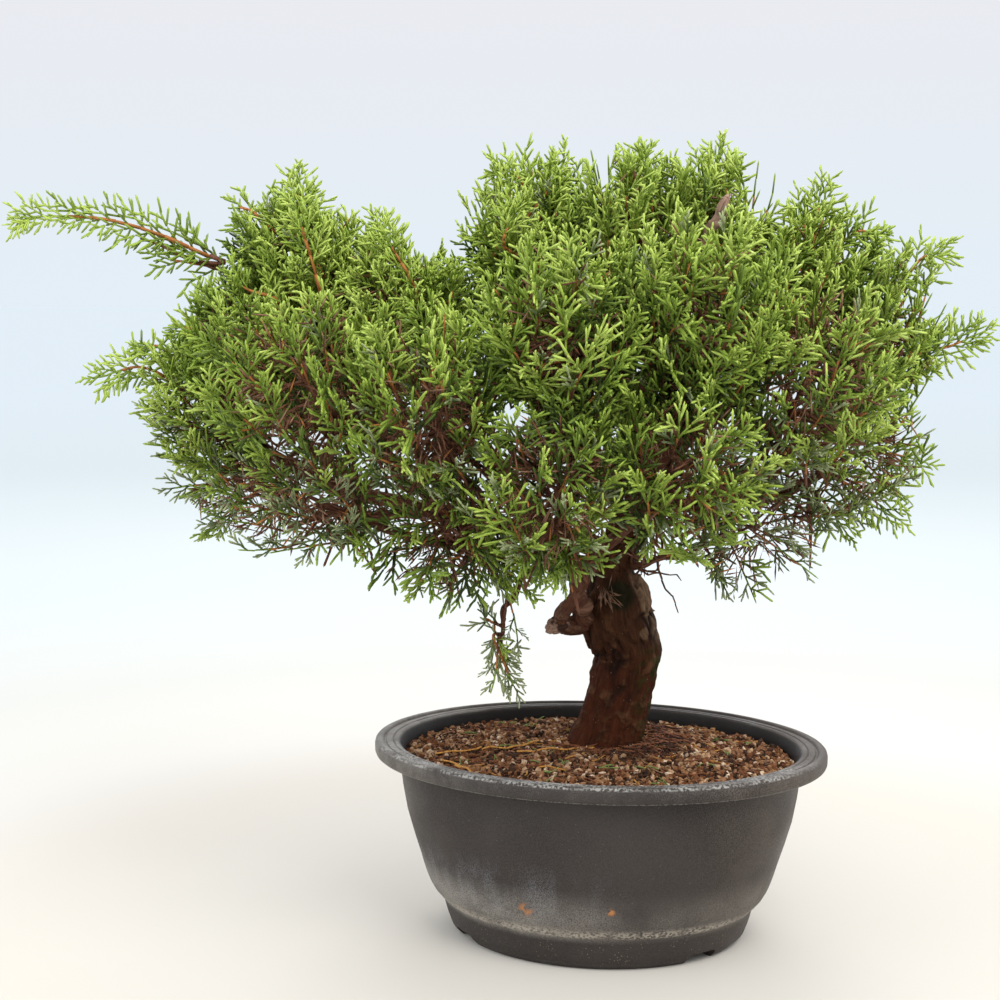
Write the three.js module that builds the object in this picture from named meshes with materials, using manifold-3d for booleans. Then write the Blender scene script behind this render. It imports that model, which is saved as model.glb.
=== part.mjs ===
// A juniper bonsai in an oval training pot: pot, soil, trunk, boughs and masses of scale foliage.
// Millimetres, +Z up. The origin is the centre of the pot's flat underside; the pot's long side lies along X.
import * as THREE from 'three';
import { mergeVertices } from 'three/addons/utils/BufferGeometryUtils.js';
import Module from 'manifold-3d';

// Pot
const rimLength = 270;
const rimWidth = 209;
const potHeight = 113.6;
const footLength = 166;
const footWidth = 142;
const rimFaceHeight = 9.3;
const flangeWidth = 14.5;
const lipWidth = 6.5;
const lipRounding = 2;
const stepDepth = 1.3;
const wallThickness = 2.8;
const potSides = 40;
const undersideRecess = 5;
const floorThickness = 4;
const footRingWidth = 9;
const ribWidth = 10;
const centrePadRadius = 16;
const padSides = 16;
const footNotchWidth = 17;
const footNotchHeight = 6;
const footNotchAngles = [-0.205, -0.795, 0.205, 0.795].map((turn) => turn * Math.PI);
const footNotchReach = 0.97;
const drainHoleRadius = 6;
const holeSides = 12;
const drainHoleSpacing = [74, 46];

// Outer wall of the pot below the rim: out from the foot's edge, and up from the table
const footSkirt = [[0, 0], [5.5, 4], [9.5, 16], [11, 20]];
const belly = [16.5, 26];
const bellyTop = [20.5, 34];
const flareStart = [24, 45];
const flareMiddle = [32.3, 72];

// Soil
const soilEdgeHeight = 104;
const soilTopHeight = 109;
const soilPadShare = 0.52;
const soilRise = soilTopHeight - soilEdgeHeight;
const soilSlope = [[1, 0], [0.93, 0.3], [0.7, 0.6]];

// Clearances
const touchingGap = 0.3;
const spaceGap = 0.4;

// The tree's front is turned a little from the pot's front
const treeTurn = THREE.MathUtils.degToRad(14.1);

// Trunk stations from the soil to the tip: across, depth, height and radius, in the tree's own frame
const trunkStations = [
  { at: [5, 12, 96], radius: 26 },
  { at: [6, 12, 109], radius: 23.5 },
  { at: [8, 12, 116], radius: 21 },
  { at: [12.5, 13, 135], radius: 20 },
  { at: [18, 16, 160], radius: 20 },
  { at: [15.5, 16, 175], radius: 22.5 },
  { at: [12, 16, 185], radius: 24.5 },
  { at: [11, 18, 199], radius: 20 },
  { at: [9, 22, 212], radius: 14.5 },
  { at: [15, 26, 229], radius: 11 },
  { at: [25, 26, 252], radius: 9.5 },
  { at: [27, 22, 277], radius: 8.5 },
  { at: [20, 15, 312], radius: 7 },
  { at: [16, 8, 345], radius: 6 },
  { at: [17, 4, 385], radius: 4.5 },
  { at: [17, 0, 423], radius: 3.5 },
];
const trunkSides = 12;
const trunkRings = 22;
const flareDepth = 0.12;
const flareLobes = 5;

// Masses of foliage, in the tree's frame: centre of the space, reach across, in depth and in height
const masses = [
  { name: 'long_shoot', centre: [-262, -22, 409], reach: [90, 34, 38], twigs: 4,
    leaders: [[-336, -25, 420], [-290, -22, 398]] },
  { name: 'left_spire', centre: [-174, 0, 400], reach: [54, 58, 38], twigs: 4, dense: true,
    leaders: [[-175, 0, 452], [-224, 0, 428]] },
  { name: 'left_shoulder', centre: [-205, -20, 355], reach: [48, 52, 46], twigs: 6, dense: true },
  { name: 'left_outer', centre: [-228, -10, 315], reach: [42, 54, 46], twigs: 5, dense: true,
    leaders: [[-300, -10, 327]] },
  { name: 'left_low', centre: [-208, 20, 262], reach: [48, 62, 40], twigs: 5, dense: true },
  { name: 'left_front', centre: [-164, -95, 333], reach: [60, 52, 56], twigs: 6, dense: true },
  { name: 'left_low_front', centre: [-163, -80, 270], reach: [60, 54, 42], twigs: 5, dense: true },
  { name: 'left_rear', centre: [-200, 95, 345], reach: [68, 62, 56], twigs: 7, dense: true },
  { name: 'left_crest', centre: [-124, -10, 378], reach: [52, 60, 40], twigs: 4, dense: true,
    leaders: [[-127, -10, 426]] },
  { name: 'middle_front', centre: [-97, -115, 323], reach: [56, 52, 56], twigs: 6, dense: true },
  { name: 'middle_rear', centre: [-110, 110, 335], reach: [62, 60, 60], twigs: 7, dense: true },
  { name: 'middle_low', centre: [-90, -75, 250], reach: [56, 52, 47], twigs: 5, dense: true },
  { name: 'hanging_spray', centre: [-58, -50, 172], reach: [22, 20, 30], twigs: 2,
    leaders: [[-50, -50, 150]] },
  { name: 'apex_left', centre: [-40, 0, 409], reach: [46, 60, 56], twigs: 4, dense: true,
    leaders: [[-65, 0, 455], [-14, 0, 464]] },
  { name: 'apex_middle', centre: [17, 0, 423], reach: [50, 60, 44], twigs: 4, dense: true,
    leaders: [[22, 0, 462]] },
  { name: 'apex_right', centre: [66, 0, 420], reach: [42, 56, 44], twigs: 4, dense: true,
    leaders: [[69, 0, 469]] },
  { name: 'right_crest', centre: [122, 0, 390], reach: [48, 58, 42], twigs: 3, dense: true,
    leaders: [[127, 0, 443], [165, 0, 420]] },
  { name: 'right_outer', centre: [160, -5, 363], reach: [44, 56, 52], twigs: 4, dense: true,
    leaders: [[224, -5, 360], [201, -5, 410]] },
  { name: 'right_low', centre: [148, 0, 287], reach: [48, 62, 52], twigs: 4, dense: true,
    leaders: [[193, 0, 280], [175, 0, 246]] },
  { name: 'right_hanging', centre: [86, -30, 247], reach: [50, 50, 46], twigs: 4, dense: true,
    leaders: [[73, -30, 205]] },
  { name: 'upper_front_left', centre: [-22, -115, 359], reach: [58, 52, 60], twigs: 6, dense: true },
  { name: 'upper_front_right', centre: [45, -115, 370], reach: [60, 52, 58], twigs: 6, dense: true },
  { name: 'lower_front_left', centre: [-30, -125, 285], reach: [56, 50, 60], twigs: 6, dense: true,
    leaders: [[-36, -80, 209]] },
  { name: 'lower_front_right', centre: [35, -120, 292], reach: [56, 50, 56], twigs: 6, dense: true },
  { name: 'right_front', centre: [105, -100, 338], reach: [58, 54, 56], twigs: 6, dense: true },
  { name: 'rear_left', centre: [-25, 120, 367], reach: [62, 60, 62], twigs: 7, dense: true },
  { name: 'rear_right', centre: [77, 115, 367], reach: [64, 60, 60], twigs: 7, dense: true },
  { name: 'rear_low', centre: [20, 115, 283], reach: [62, 58, 46], twigs: 6, dense: true },
];

// Boughs: the limb that each grows from, how far along it, the bends on the way and the mass that it carries
const boughs = [
  { name: 'left_bough', from: 'trunk', height: 222,
    bends: [[-46, 10, 250], [-155, 5, 238]], mass: 'left_outer', radius: 6.5 },
  { name: 'left_low_bough', from: 'trunk', height: 212,
    bends: [[-40, -20, 232], [-98, -40, 228]], mass: 'left_low_front', radius: 5 },
  { name: 'left_low_limb', from: 'left_bough', along: 0.55,
    bends: [[-175, 30, 240]], mass: 'left_low', radius: 3.6 },
  { name: 'left_spire_limb', from: 'left_bough', along: 0.42,
    bends: [[-150, 10, 330]], mass: 'left_spire', radius: 4.5 },
  { name: 'left_shoulder_limb', from: 'left_bough', along: 0.68,
    bends: [[-190, -5, 300]], mass: 'left_shoulder', radius: 3.6 },
  { name: 'long_shoot_limb', from: 'left_spire_limb', along: 0.6,
    bends: [[-190, -10, 385]], mass: 'long_shoot', radius: 2.6 },
  { name: 'left_front_limb', from: 'left_bough', along: 0.36,
    bends: [[-125, -60, 290]], mass: 'left_front', radius: 4 },
  { name: 'left_rear_limb', from: 'left_bough', along: 0.48,
    bends: [[-150, 60, 290]], mass: 'left_rear', radius: 4.5 },
  { name: 'left_crest_limb', from: 'left_bough', along: 0.25,
    bends: [[-95, 0, 310]], mass: 'left_crest', radius: 4.5 },
  { name: 'middle_front_limb', from: 'left_low_bough', along: 0.26,
    bends: [[-75, -75, 255]], mass: 'middle_front', radius: 3.6 },
  { name: 'middle_rear_limb', from: 'left_bough', along: 0.2,
    bends: [[-60, 70, 275]], mass: 'middle_rear', radius: 4.5 },
  { name: 'middle_low_limb', from: 'left_low_bough', along: 0.42,
    bends: [[-85, -50, 232]], mass: 'middle_low', radius: 3 },
  { name: 'hanging_limb', from: 'left_low_bough', along: 0.3,
    bends: [[-60, -42, 215]], mass: 'hanging_spray', radius: 2.6 },
  { name: 'right_bough', from: 'trunk', height: 250,
    bends: [[62, 10, 256], [106, 0, 246]], mass: 'right_low', radius: 5.5 },
  { name: 'right_outer_limb', from: 'right_bough', along: 0.5,
    bends: [[140, 0, 285]], mass: 'right_outer', radius: 4 },
  { name: 'right_front_limb', from: 'right_bough', along: 0.35,
    bends: [[85, -55, 275]], mass: 'right_front', radius: 4 },
  { name: 'right_hanging_limb', from: 'trunk', height: 214,
    bends: [[55, -5, 222]], mass: 'right_hanging', radius: 2.6 },
  { name: 'right_crest_limb', from: 'trunk', height: 272,
    bends: [[60, 10, 295], [105, 5, 335]], mass: 'right_crest', radius: 5 },
  { name: 'apex_right_limb', from: 'trunk', height: 300,
    bends: [[32, -60, 375]], mass: 'apex_right', radius: 4.5 },
  { name: 'apex_left_limb', from: 'trunk', height: 338,
    bends: [[-15, 5, 350]], mass: 'apex_left', radius: 4.2 },
  { name: 'upper_right_limb', from: 'trunk', height: 285,
    bends: [[40, -60, 310]], mass: 'upper_front_right', radius: 4 },
  { name: 'upper_left_limb', from: 'trunk', height: 322,
    bends: [[-5, -50, 325]], mass: 'upper_front_left', radius: 4 },
  { name: 'front_bough', from: 'trunk', height: 190,
    bends: [[-64, -5, 158], [10, -35, 238]], mass: 'lower_front_right', radius: 5.5, knob: 2.5 },
  { name: 'front_low_limb', from: 'front_bough', along: 0.6,
    bends: [[-20, -90, 255]], mass: 'lower_front_left', radius: 3.4 },
  { name: 'rear_bough', from: 'trunk', height: 243,
    bends: [[35, 75, 275]], mass: 'rear_right', radius: 5.5 },
  { name: 'rear_left_limb', from: 'trunk', height: 302,
    bends: [[0, 60, 330]], mass: 'rear_left', radius: 4.5 },
  { name: 'rear_low_limb', from: 'rear_bough', along: 0.35,
    bends: [[25, 80, 262]], mass: 'rear_low', radius: 3.4 },
];
const boughSides = 5;
const boughRings = 4;
const hookedBough = 'front_bough';
const hookedRings = 9;
const boughTipShare = 0.6;
const knobLength = 0.5;

// The broken dead stub near the top
const stub = {
  from: 'apex_right_limb', along: 0.74, tip: [67, -54, 432], radius: 3.4, taper: 0.45, swell: 0.3,
};

// Growth of a mass: stem, twigs and toothed sprays of needles
const stemSides = 3;
const stemRings = 2;
const stemTipShare = 0.45;
const twigBaseRadius = 2;
const twigTipRadius = 1.7;
const twigEndShare = 0.42;
const shortTwig = 20;
const sprayThickness = 1.3;
const spraySink = 4;
const sprayOutline = [[0, 0], [0.3, -0.05], [0.62, -0.5], [0.55, -0.12], [1, 0.02], [0.6, 0.13],
  [0.76, 0.5], [0.3, 0.05]];
const sprayWidth = 58;
const sideSprayLength = 58;
const leaderWidth = 26;
const sideSprayAt = 0.6;
const sideSprayLean = 0.8;
const sprayMiddle = 0.6;
const sprayApart = 24;
const firstStation = 0.25;
const lastStation = 0.95;
const stationCount = 8;
const sharpTurn = 0.4;
const farthestTwig = 0.96;
const nearestTwig = 0.4;
const pullStep = 0.06;
const coreShare = 0.4;
const coreRoughness = 0.1;
const shortTuft = 0.56;
const longTuft = 0.88;
const tuftRadius = 3;
const tuftStep = 0.05;
const goldenAngle = Math.PI * (3 - Math.sqrt(5));

const bark = new THREE.MeshStandardMaterial({ color: 0x5b3a2c, roughness: 0.9, metalness: 0 });
const deadWood = new THREE.MeshStandardMaterial({ color: 0x8f7f72, roughness: 0.9, metalness: 0 });
const foliage = new THREE.MeshStandardMaterial({ color: 0x6f9a34, roughness: 0.6, metalness: 0 });
const potPlastic = new THREE.MeshStandardMaterial({ color: 0x3c3d41, roughness: 0.65, metalness: 0 });
const granules = new THREE.MeshStandardMaterial({ color: 0x7a5238, roughness: 0.95, metalness: 0 });

const wasm = await Module();
wasm.setup();

// Joins and cuts on closed meshes
function toSolid(geometry) {
  const bare = geometry.index ? geometry.toNonIndexed() : geometry.clone();
  bare.deleteAttribute('normal');
  bare.deleteAttribute('uv');
  const merged = mergeVertices(bare, 1e-4);
  return new wasm.Manifold(new wasm.Mesh({
    numProp: 3,
    vertProperties: new Float32Array(merged.attributes.position.array),
    triVerts: new Uint32Array(merged.index.array),
  }));
}

// The largest piece of a solid, so that no loose scrap stays in a node
function mainPiece(solid) {
  const pieces = solid.decompose();
  pieces.sort((a, b) => b.volume() - a.volume());
  return pieces[0];
}

function toGeometry(solid) {
  const mesh = mainPiece(solid).getMesh();
  const geometry = new THREE.BufferGeometry();
  geometry.setAttribute('position', new THREE.BufferAttribute(new Float32Array(mesh.vertProperties), 3));
  geometry.setIndex(new THREE.BufferAttribute(new Uint32Array(mesh.triVerts), 1));
  geometry.computeVertexNormals();
  return geometry;
}

function makeMesh(name, geometry, material) {
  const mesh = new THREE.Mesh(geometry, material);
  mesh.name = name;
  return mesh;
}

// Seeded numbers from 0 to 1, the same on every run
function seededRandom(seed) {
  let state = (seed * 7919 + 12345) >>> 0;
  return () => {
    state = (Math.imul(state, 1664525) + 1013904223) >>> 0;
    return state / 4294967296;
  };
}

// Pot and soil
function ovalLathe(profile) {
  const points = profile.map(([radius, height]) => new THREE.Vector2(radius, height));
  const geometry = new THREE.LatheGeometry(points, potSides);
  geometry.rotateX(Math.PI / 2);
  const position = geometry.attributes.position;
  for (let i = 0; i < position.count; i += 1) {
    const height = position.getZ(i);
    const share = THREE.MathUtils.clamp(height / potHeight, 0, 1);
    const squash = THREE.MathUtils.lerp(footWidth / footLength, rimWidth / rimLength, share);
    position.setXYZ(i, position.getX(i), position.getY(i) * squash, height);
  }
  return geometry;
}

const rimRadius = rimLength / 2;
const footRadius = footLength / 2;
const wallTopRadius = rimRadius - flangeWidth;
const wallTop = potHeight - rimFaceHeight;

// Outer wall, as half-length at each height: skirt of the foot, belly and straight flare
const wallSteps = [...footSkirt, belly, bellyTop, flareStart, flareMiddle];
const outerWall = [
  ...wallSteps.map(([out, up]) => [footRadius + out, up]),
  [wallTopRadius - 0.5, wallTop],
];

function innerRadius(height) {
  for (let i = 1; i < outerWall.length; i += 1) {
    const [radius, top] = outerWall[i];
    const [radiusBelow, bottom] = outerWall[i - 1];
    if (height <= top) {
      const share = (height - bottom) / (top - bottom);
      return THREE.MathUtils.lerp(radiusBelow, radius, share) - wallThickness;
    }
  }
  return wallTopRadius - wallThickness;
}

const floorTop = undersideRecess + floorThickness;

function makePot() {
  const recessRadius = footRadius - footRingWidth;
  const profile = [
    [0, undersideRecess],
    [recessRadius, undersideRecess],
    [recessRadius, 0],
    ...outerWall,
    [rimRadius - lipRounding / 2, wallTop],
    [rimRadius, potHeight - lipRounding],
    [rimRadius - lipRounding, potHeight],
    [rimRadius - lipWidth + 1, potHeight],
    [rimRadius - lipWidth, potHeight - stepDepth],
    [wallTopRadius, potHeight - stepDepth],
    ...[wallTop, flareStart[1], belly[1], floorTop].map((height) => [innerRadius(height), height]),
    [0, floorTop],
  ];
  let pot = toSolid(ovalLathe(profile));
  const ribHeight = undersideRecess + 1;
  const longRib = new THREE.BoxGeometry(footLength - footRingWidth, ribWidth, ribHeight);
  const crossRib = new THREE.BoxGeometry(ribWidth, footWidth - footRingWidth, ribHeight);
  const pad = new THREE.CylinderGeometry(centrePadRadius, centrePadRadius, ribHeight, padSides);
  pad.rotateX(Math.PI / 2);
  for (const stiffener of [longRib, crossRib, pad]) {
    stiffener.translate(0, 0, ribHeight / 2);
    pot = pot.add(toSolid(stiffener));
  }
  for (const angle of footNotchAngles) {
    const notch = new THREE.BoxGeometry(3 * footRingWidth, footNotchWidth, 2 * footNotchHeight);
    notch.rotateZ(angle);
    const out = footNotchReach / 2;
    notch.translate(Math.cos(angle) * footLength * out, Math.sin(angle) * footWidth * out, 0);
    pot = pot.subtract(toSolid(notch));
  }
  for (const sideX of [-1, 1]) {
    for (const sideY of [-1, 1]) {
      const hole = new THREE.CylinderGeometry(drainHoleRadius, drainHoleRadius, 3 * floorTop, holeSides);
      hole.rotateX(Math.PI / 2);
      hole.translate(sideX * drainHoleSpacing[0] / 2, sideY * drainHoleSpacing[1] / 2, floorTop);
      pot = pot.subtract(toSolid(hole));
    }
  }
  return toGeometry(pot);
}

function makeSoil() {
  const bottom = floorTop + touchingGap;
  const clear = (height) => innerRadius(height) - 2 * touchingGap;
  const edge = clear(soilEdgeHeight);
  const profile = [
    [0, bottom],
    ...[bottom, belly[1], flareStart[1]].map((height) => [clear(height), height]),
    ...soilSlope.map(([share, risen]) => [edge * share, soilEdgeHeight + risen * soilRise]),
    [edge * soilPadShare, soilTopHeight],
    [0, soilTopHeight],
  ];
  return toGeometry(toSolid(ovalLathe(profile)));
}

// A point on a Bezier curve through any number of control points
function pointOn(controls, t) {
  let points = controls.map((point) => point.clone());
  while (points.length > 1) {
    points = points.slice(1).map((point, i) => points[i].clone().lerp(point, t));
  }
  return points[0];
}

const smallStep = 0.02;

// A round limb along a path: radiusAt gives its radius at each share of its length and each angle round it
function limbGeometry(path, radiusAt, sides, rings) {
  const geometry = new THREE.CylinderGeometry(1, 1, 1, sides, rings);
  const centres = [];
  for (let ring = 0; ring <= rings; ring += 1) {
    centres.push(path(ring / rings));
  }
  const frames = [];
  let side = null;
  for (let ring = 0; ring <= rings; ring += 1) {
    const before = path(Math.max(ring / rings - smallStep, 0));
    const after = path(Math.min(ring / rings + smallStep, 1));
    const ahead = after.sub(before).normalize();
    if (side === null) {
      side = new THREE.Vector3(1, 0, 0);
      if (Math.abs(ahead.x) > 0.8) {
        side.set(0, 1, 0);
      }
    }
    side = side.clone().addScaledVector(ahead, -side.dot(ahead)).normalize();
    frames.push({ side, cross: side.clone().cross(ahead) });
  }
  const position = geometry.attributes.position;
  for (let i = 0; i < position.count; i += 1) {
    const share = 0.5 + position.getY(i);
    const ring = Math.round(share * rings);
    const a = position.getX(i);
    const b = position.getZ(i);
    const radius = radiusAt(share, Math.atan2(b, a));
    const point = centres[ring].clone();
    point.addScaledVector(frames[ring].side, a * radius);
    point.addScaledVector(frames[ring].cross, b * radius);
    position.setXYZ(i, point.x, point.y, point.z);
  }
  return geometry;
}

function ringsOf(name) {
  if (name === 'trunk') {
    return trunkRings;
  }
  return name === hookedBough ? hookedRings : boughRings;
}

// The share of a rising path at which it reaches a height
function shareAtHeight(path, height) {
  let low = 0;
  let high = 1;
  for (let i = 0; i < 30; i += 1) {
    const middle = (low + high) / 2;
    if (path(middle).z < height) {
      low = middle;
    } else {
      high = middle;
    }
  }
  return low;
}

// Limbs are kept with their path and radius, so that others can start on them and keep clear of them
const limbs = new Map();

function addLimb(name, path, radiusAt, samples, shapeAt = radiusAt) {
  const segments = [];
  for (let i = 0; i < samples; i += 1) {
    const from = i / samples;
    const to = (i + 1) / samples;
    const radius = Math.max(radiusAt(from, 0), radiusAt(to, 0));
    segments.push({ start: path(from), end: path(to), radius });
  }
  limbs.set(name, { path, radiusAt, shapeAt, segments });
}

function vector([x, y, z]) {
  return new THREE.Vector3(x, y, z);
}

for (const mass of masses) {
  mass.middle = vector(mass.centre);
  mass.size = vector(mass.reach);
  const [across, depth, height] = mass.reach;
  mass.weight = (across * across + depth * depth + height * height) / 3;
}

// How far a point lies on a mass's own side of the flat cuts halfway to its neighbours
function roomAmong(mass, point) {
  let room = Infinity;
  for (const other of masses) {
    if (other !== mass) {
      const apart = mass.middle.distanceTo(other.middle);
      const own = point.distanceToSquared(mass.middle) - mass.weight;
      const theirs = point.distanceToSquared(other.middle) - other.weight;
      room = Math.min(room, (theirs - own) / (2 * apart));
    }
  }
  return room;
}

// How far a point lies inside a mass's own space, which its oval reach and those cuts bound
function roomInside(mass, point) {
  const scaled = point.clone().sub(mass.middle).divide(mass.size).length();
  const room = (1 - scaled) * Math.min(mass.size.x, mass.size.y, mass.size.z);
  return Math.min(room, roomAmong(mass, point));
}

// Where the stem of a mass starts on its path, just clear of the limb's tip
function pastTip(path, end) {
  const speed = path(end + smallStep).distanceTo(path(end)) / smallStep;
  return end + touchingGap / speed;
}

// The share of a path at which it comes into a mass's space for good
function entryShare(path, mass, radius) {
  const steps = 200;
  let entry = 1;
  for (let i = steps; i >= 0; i -= 1) {
    if (roomInside(mass, path(i / steps)) < radius + spaceGap) {
      break;
    }
    entry = i / steps;
  }
  return entry;
}

const trunkCurve = new THREE.CatmullRomCurve3(
  trunkStations.map((station) => vector(station.at)), false, 'catmullrom', 0.5);

function trunkRadius(share) {
  const place = share * (trunkStations.length - 1);
  const low = Math.min(Math.floor(place), trunkStations.length - 2);
  return THREE.MathUtils.lerp(trunkStations[low].radius, trunkStations[low + 1].radius, place - low);
}

const apex = masses.find((mass) => mass.name === 'apex_middle');
const trunkEnd = entryShare((share) => trunkCurve.getPoint(share), apex, trunkRadius(1));

// The lobes of the root flare fade out a little way up
function trunkShape(share, angle) {
  const climbed = share * trunkEnd * (trunkStations.length - 1) / 2;
  const lobe = Math.cos(angle * flareLobes) * flareDepth * Math.max(0, 1 - climbed);
  return trunkRadius(share * trunkEnd) * (1 + lobe);
}

const trunkPath = (share) => trunkCurve.getPoint(share * trunkEnd);
addLimb('trunk', trunkPath, (share) => trunkShape(share, 0), trunkRings, trunkShape);

for (const bough of boughs) {
  const parent = limbs.get(bough.from);
  const along = bough.along ?? shareAtHeight(parent.path, bough.height);
  const mass = masses.find((candidate) => candidate.name === bough.mass);
  const controls = [parent.path(along), ...bough.bends.map(vector), mass.middle];
  const wholePath = (share) => pointOn(controls, share);
  const tipRadius = bough.radius * boughTipShare;
  const end = entryShare(wholePath, mass, tipRadius);
  mass.stem = { path: wholePath, start: pastTip(wholePath, end), radius: tipRadius };
  const path = (share) => wholePath(share * end);
  const knob = bough.knob ?? 0;
  const radiusAt = (share) => THREE.MathUtils.lerp(bough.radius, tipRadius, share)
    + knob * Math.max(0, 1 - share / knobLength);
  addLimb(bough.name, path, radiusAt, ringsOf(bough.name));
}
const leaderPath = (share) => trunkCurve.getPoint(share);
apex.stem = { path: leaderPath, start: pastTip(leaderPath, trunkEnd), radius: trunkRadius(trunkEnd) };

const stubParent = limbs.get(stub.from);
const stubPath = (share) => stubParent.path(stub.along).lerp(vector(stub.tip), share);
const stubRadius = (share) => stub.radius * (1 - stub.taper * share + stub.swell * Math.sin(share * Math.PI));
addLimb('dead_stub', stubPath, stubRadius, boughRings);

// The trunk, cut flat just above the soil
function makeTrunk() {
  const whole = toSolid(limbGeometry(trunkPath, trunkShape, trunkSides, trunkRings));
  const { at, radius } = trunkStations[0];
  const below = new THREE.BoxGeometry(4 * radius, 4 * radius, soilTopHeight);
  below.translate(at[0], at[1], soilTopHeight / 2 + touchingGap);
  return toGeometry(whole.subtract(toSolid(below)));
}

// A limb cut clear of the limb that it grows from
function cutLimb(name, parentName) {
  const limb = limbs.get(name);
  const parent = limbs.get(parentName);
  const whole = toSolid(limbGeometry(limb.path, limb.radiusAt, boughSides, ringsOf(name)));
  const sides = parentName === 'trunk' ? trunkSides : boughSides;
  const grown = (share, angle) => parent.shapeAt(share, angle) + touchingGap;
  return toGeometry(whole.subtract(toSolid(limbGeometry(parent.path, grown, sides, ringsOf(parentName)))));
}

// The shortest distance between two straight pieces
function distanceBetween(a, b) {
  const ray = new THREE.Vector3();
  let shortest = Infinity;
  const u = a.end.clone().sub(a.start);
  const v = b.end.clone().sub(b.start);
  const w = a.start.clone().sub(b.start);
  const uu = u.dot(u);
  const uv = u.dot(v);
  const vv = v.dot(v);
  const uw = u.dot(w);
  const vw = v.dot(w);
  const spread = uu * vv - uv * uv;
  const candidates = [];
  if (spread > 1e-9) {
    candidates.push([(uv * vw - vv * uw) / spread, null]);
  }
  candidates.push([0, null], [1, null], [null, 0], [null, 1]);
  for (const [shareA, shareB] of candidates) {
    let s = shareA;
    let t = shareB;
    if (s === null) {
      s = (uv * t - uw) / uu;
    }
    s = THREE.MathUtils.clamp(s, 0, 1);
    t = THREE.MathUtils.clamp((uv * s + vw) / vv, 0, 1);
    s = THREE.MathUtils.clamp((uv * t - uw) / uu, 0, 1);
    ray.copy(w).addScaledVector(u, s).addScaledVector(v, -t);
    shortest = Math.min(shortest, ray.length());
  }
  return shortest;
}

function clearOfLimbs(start, end, radius) {
  for (const limb of limbs.values()) {
    for (const segment of limb.segments) {
      if (distanceBetween({ start, end }, segment) < radius + segment.radius + spaceGap) {
        return false;
      }
    }
  }
  return true;
}

// A spray of needles: a thin toothed blade, its pointed base sunk in the twig
function sprayGeometry(base, tip, facing, width) {
  const length = base.distanceTo(tip);
  const corners = sprayOutline.map(([along, across]) => new THREE.Vector2(along * length, across * width));
  const shape = new THREE.Shape(corners);
  const geometry = new THREE.ExtrudeGeometry(shape, { depth: sprayThickness, bevelEnabled: false });
  geometry.translate(0, 0, -sprayThickness / 2);
  const ahead = tip.clone().sub(base).normalize();
  const normal = facing.clone().addScaledVector(ahead, -facing.dot(ahead)).normalize();
  const across = normal.clone().cross(ahead);
  geometry.applyMatrix4(new THREE.Matrix4().makeBasis(ahead, across, normal).setPosition(base));
  return geometry;
}

// A leader may stand out of its mass's reach, but not past the cuts
function fits(mass, geometry, isLeader) {
  const position = geometry.attributes.position;
  const corner = new THREE.Vector3();
  for (let i = 0; i < position.count; i += 1) {
    corner.fromBufferAttribute(position, i);
    const room = isLeader ? roomAmong(mass, corner) : roomInside(mass, corner);
    if (room < spaceGap) {
      return false;
    }
  }
  return true;
}

// Where the twigs of a mass end: points spread evenly over its reach, pulled in until they are in its space
function twigTargets(mass, count, random) {
  const targets = [];
  const turn = random() * 2 * Math.PI;
  for (let i = 0; i < count; i += 1) {
    const height = 1 - (2 * i + 1) / count;
    const ring = Math.sqrt(1 - height * height);
    const angle = turn + i * goldenAngle;
    const direction = new THREE.Vector3(Math.cos(angle) * ring, Math.sin(angle) * ring, height);
    for (let pull = farthestTwig; pull > nearestTwig; pull -= pullStep) {
      const target = placeInSpace(mass, direction, pull);
      if (roomInside(mass, target) > 2 * spaceGap) {
        targets.push(target);
        break;
      }
    }
  }
  return targets;
}

// The last place on the stem from which a twig still leaves at a sharp angle
function stationFor(mass, target) {
  const { path, start } = mass.stem;
  for (let i = stationCount; i > 0; i -= 1) {
    const along = THREE.MathUtils.lerp(firstStation, lastStation, i / stationCount);
    const share = THREE.MathUtils.lerp(start, 1, along);
    const ahead = path(share + smallStep).sub(path(share - smallStep)).normalize();
    const toTarget = target.clone().sub(path(share)).normalize();
    if (ahead.dot(toTarget) > sharpTurn) {
      return share;
    }
  }
  return THREE.MathUtils.lerp(start, 1, firstStation);
}

// The dense heart of a mass: a small core with a tuft of needles at each corner, shorter where a limb or a
// neighbour is in the way
function coreGeometry(mass, random) {
  const bare = new THREE.IcosahedronGeometry(1, 1);
  bare.deleteAttribute('normal');
  bare.deleteAttribute('uv');
  const core = mergeVertices(bare, 1e-4);
  const tufts = new THREE.IcosahedronGeometry(1, 0).attributes.position;
  const turn = new THREE.Euler(random() * 2 * Math.PI, random() * 2 * Math.PI, 0);
  const corners = [];
  for (let i = 0; i < core.attributes.position.count; i += 1) {
    const direction = new THREE.Vector3().fromBufferAttribute(core.attributes.position, i);
    const isTuft = nearestCorner(tufts, direction) < smallStep;
    direction.applyEuler(turn);
    const wanted = isTuft ? [shortTuft, longTuft] : [coreShare - coreRoughness, coreShare + coreRoughness];
    const corner = { direction, reach: THREE.MathUtils.lerp(...wanted, random()) };
    corner.at = placeInSpace(mass, direction, corner.reach);
    while (corner.reach > tuftStep && !hasRoom(mass, corner.at)) {
      shorten(mass, corner);
    }
    corners.push(corner);
  }
  const edges = [];
  for (let i = 0; i < core.index.count; i += 1) {
    const next = i % 3 === 2 ? i - 2 : i + 1;
    edges.push([corners[core.index.getX(i)], corners[core.index.getX(next)]]);
  }
  let blocked = edges;
  while (blocked.length > 0) {
    blocked = blocked.filter(([from, to]) => !clearOfLimbs(from.at, to.at, touchingGap));
    blocked.flat().filter((corner) => corner.reach > tuftStep).forEach((corner) => shorten(mass, corner));
  }
  corners.forEach(({ at }, i) => core.attributes.position.setXYZ(i, at.x, at.y, at.z));
  return core;
}

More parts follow.
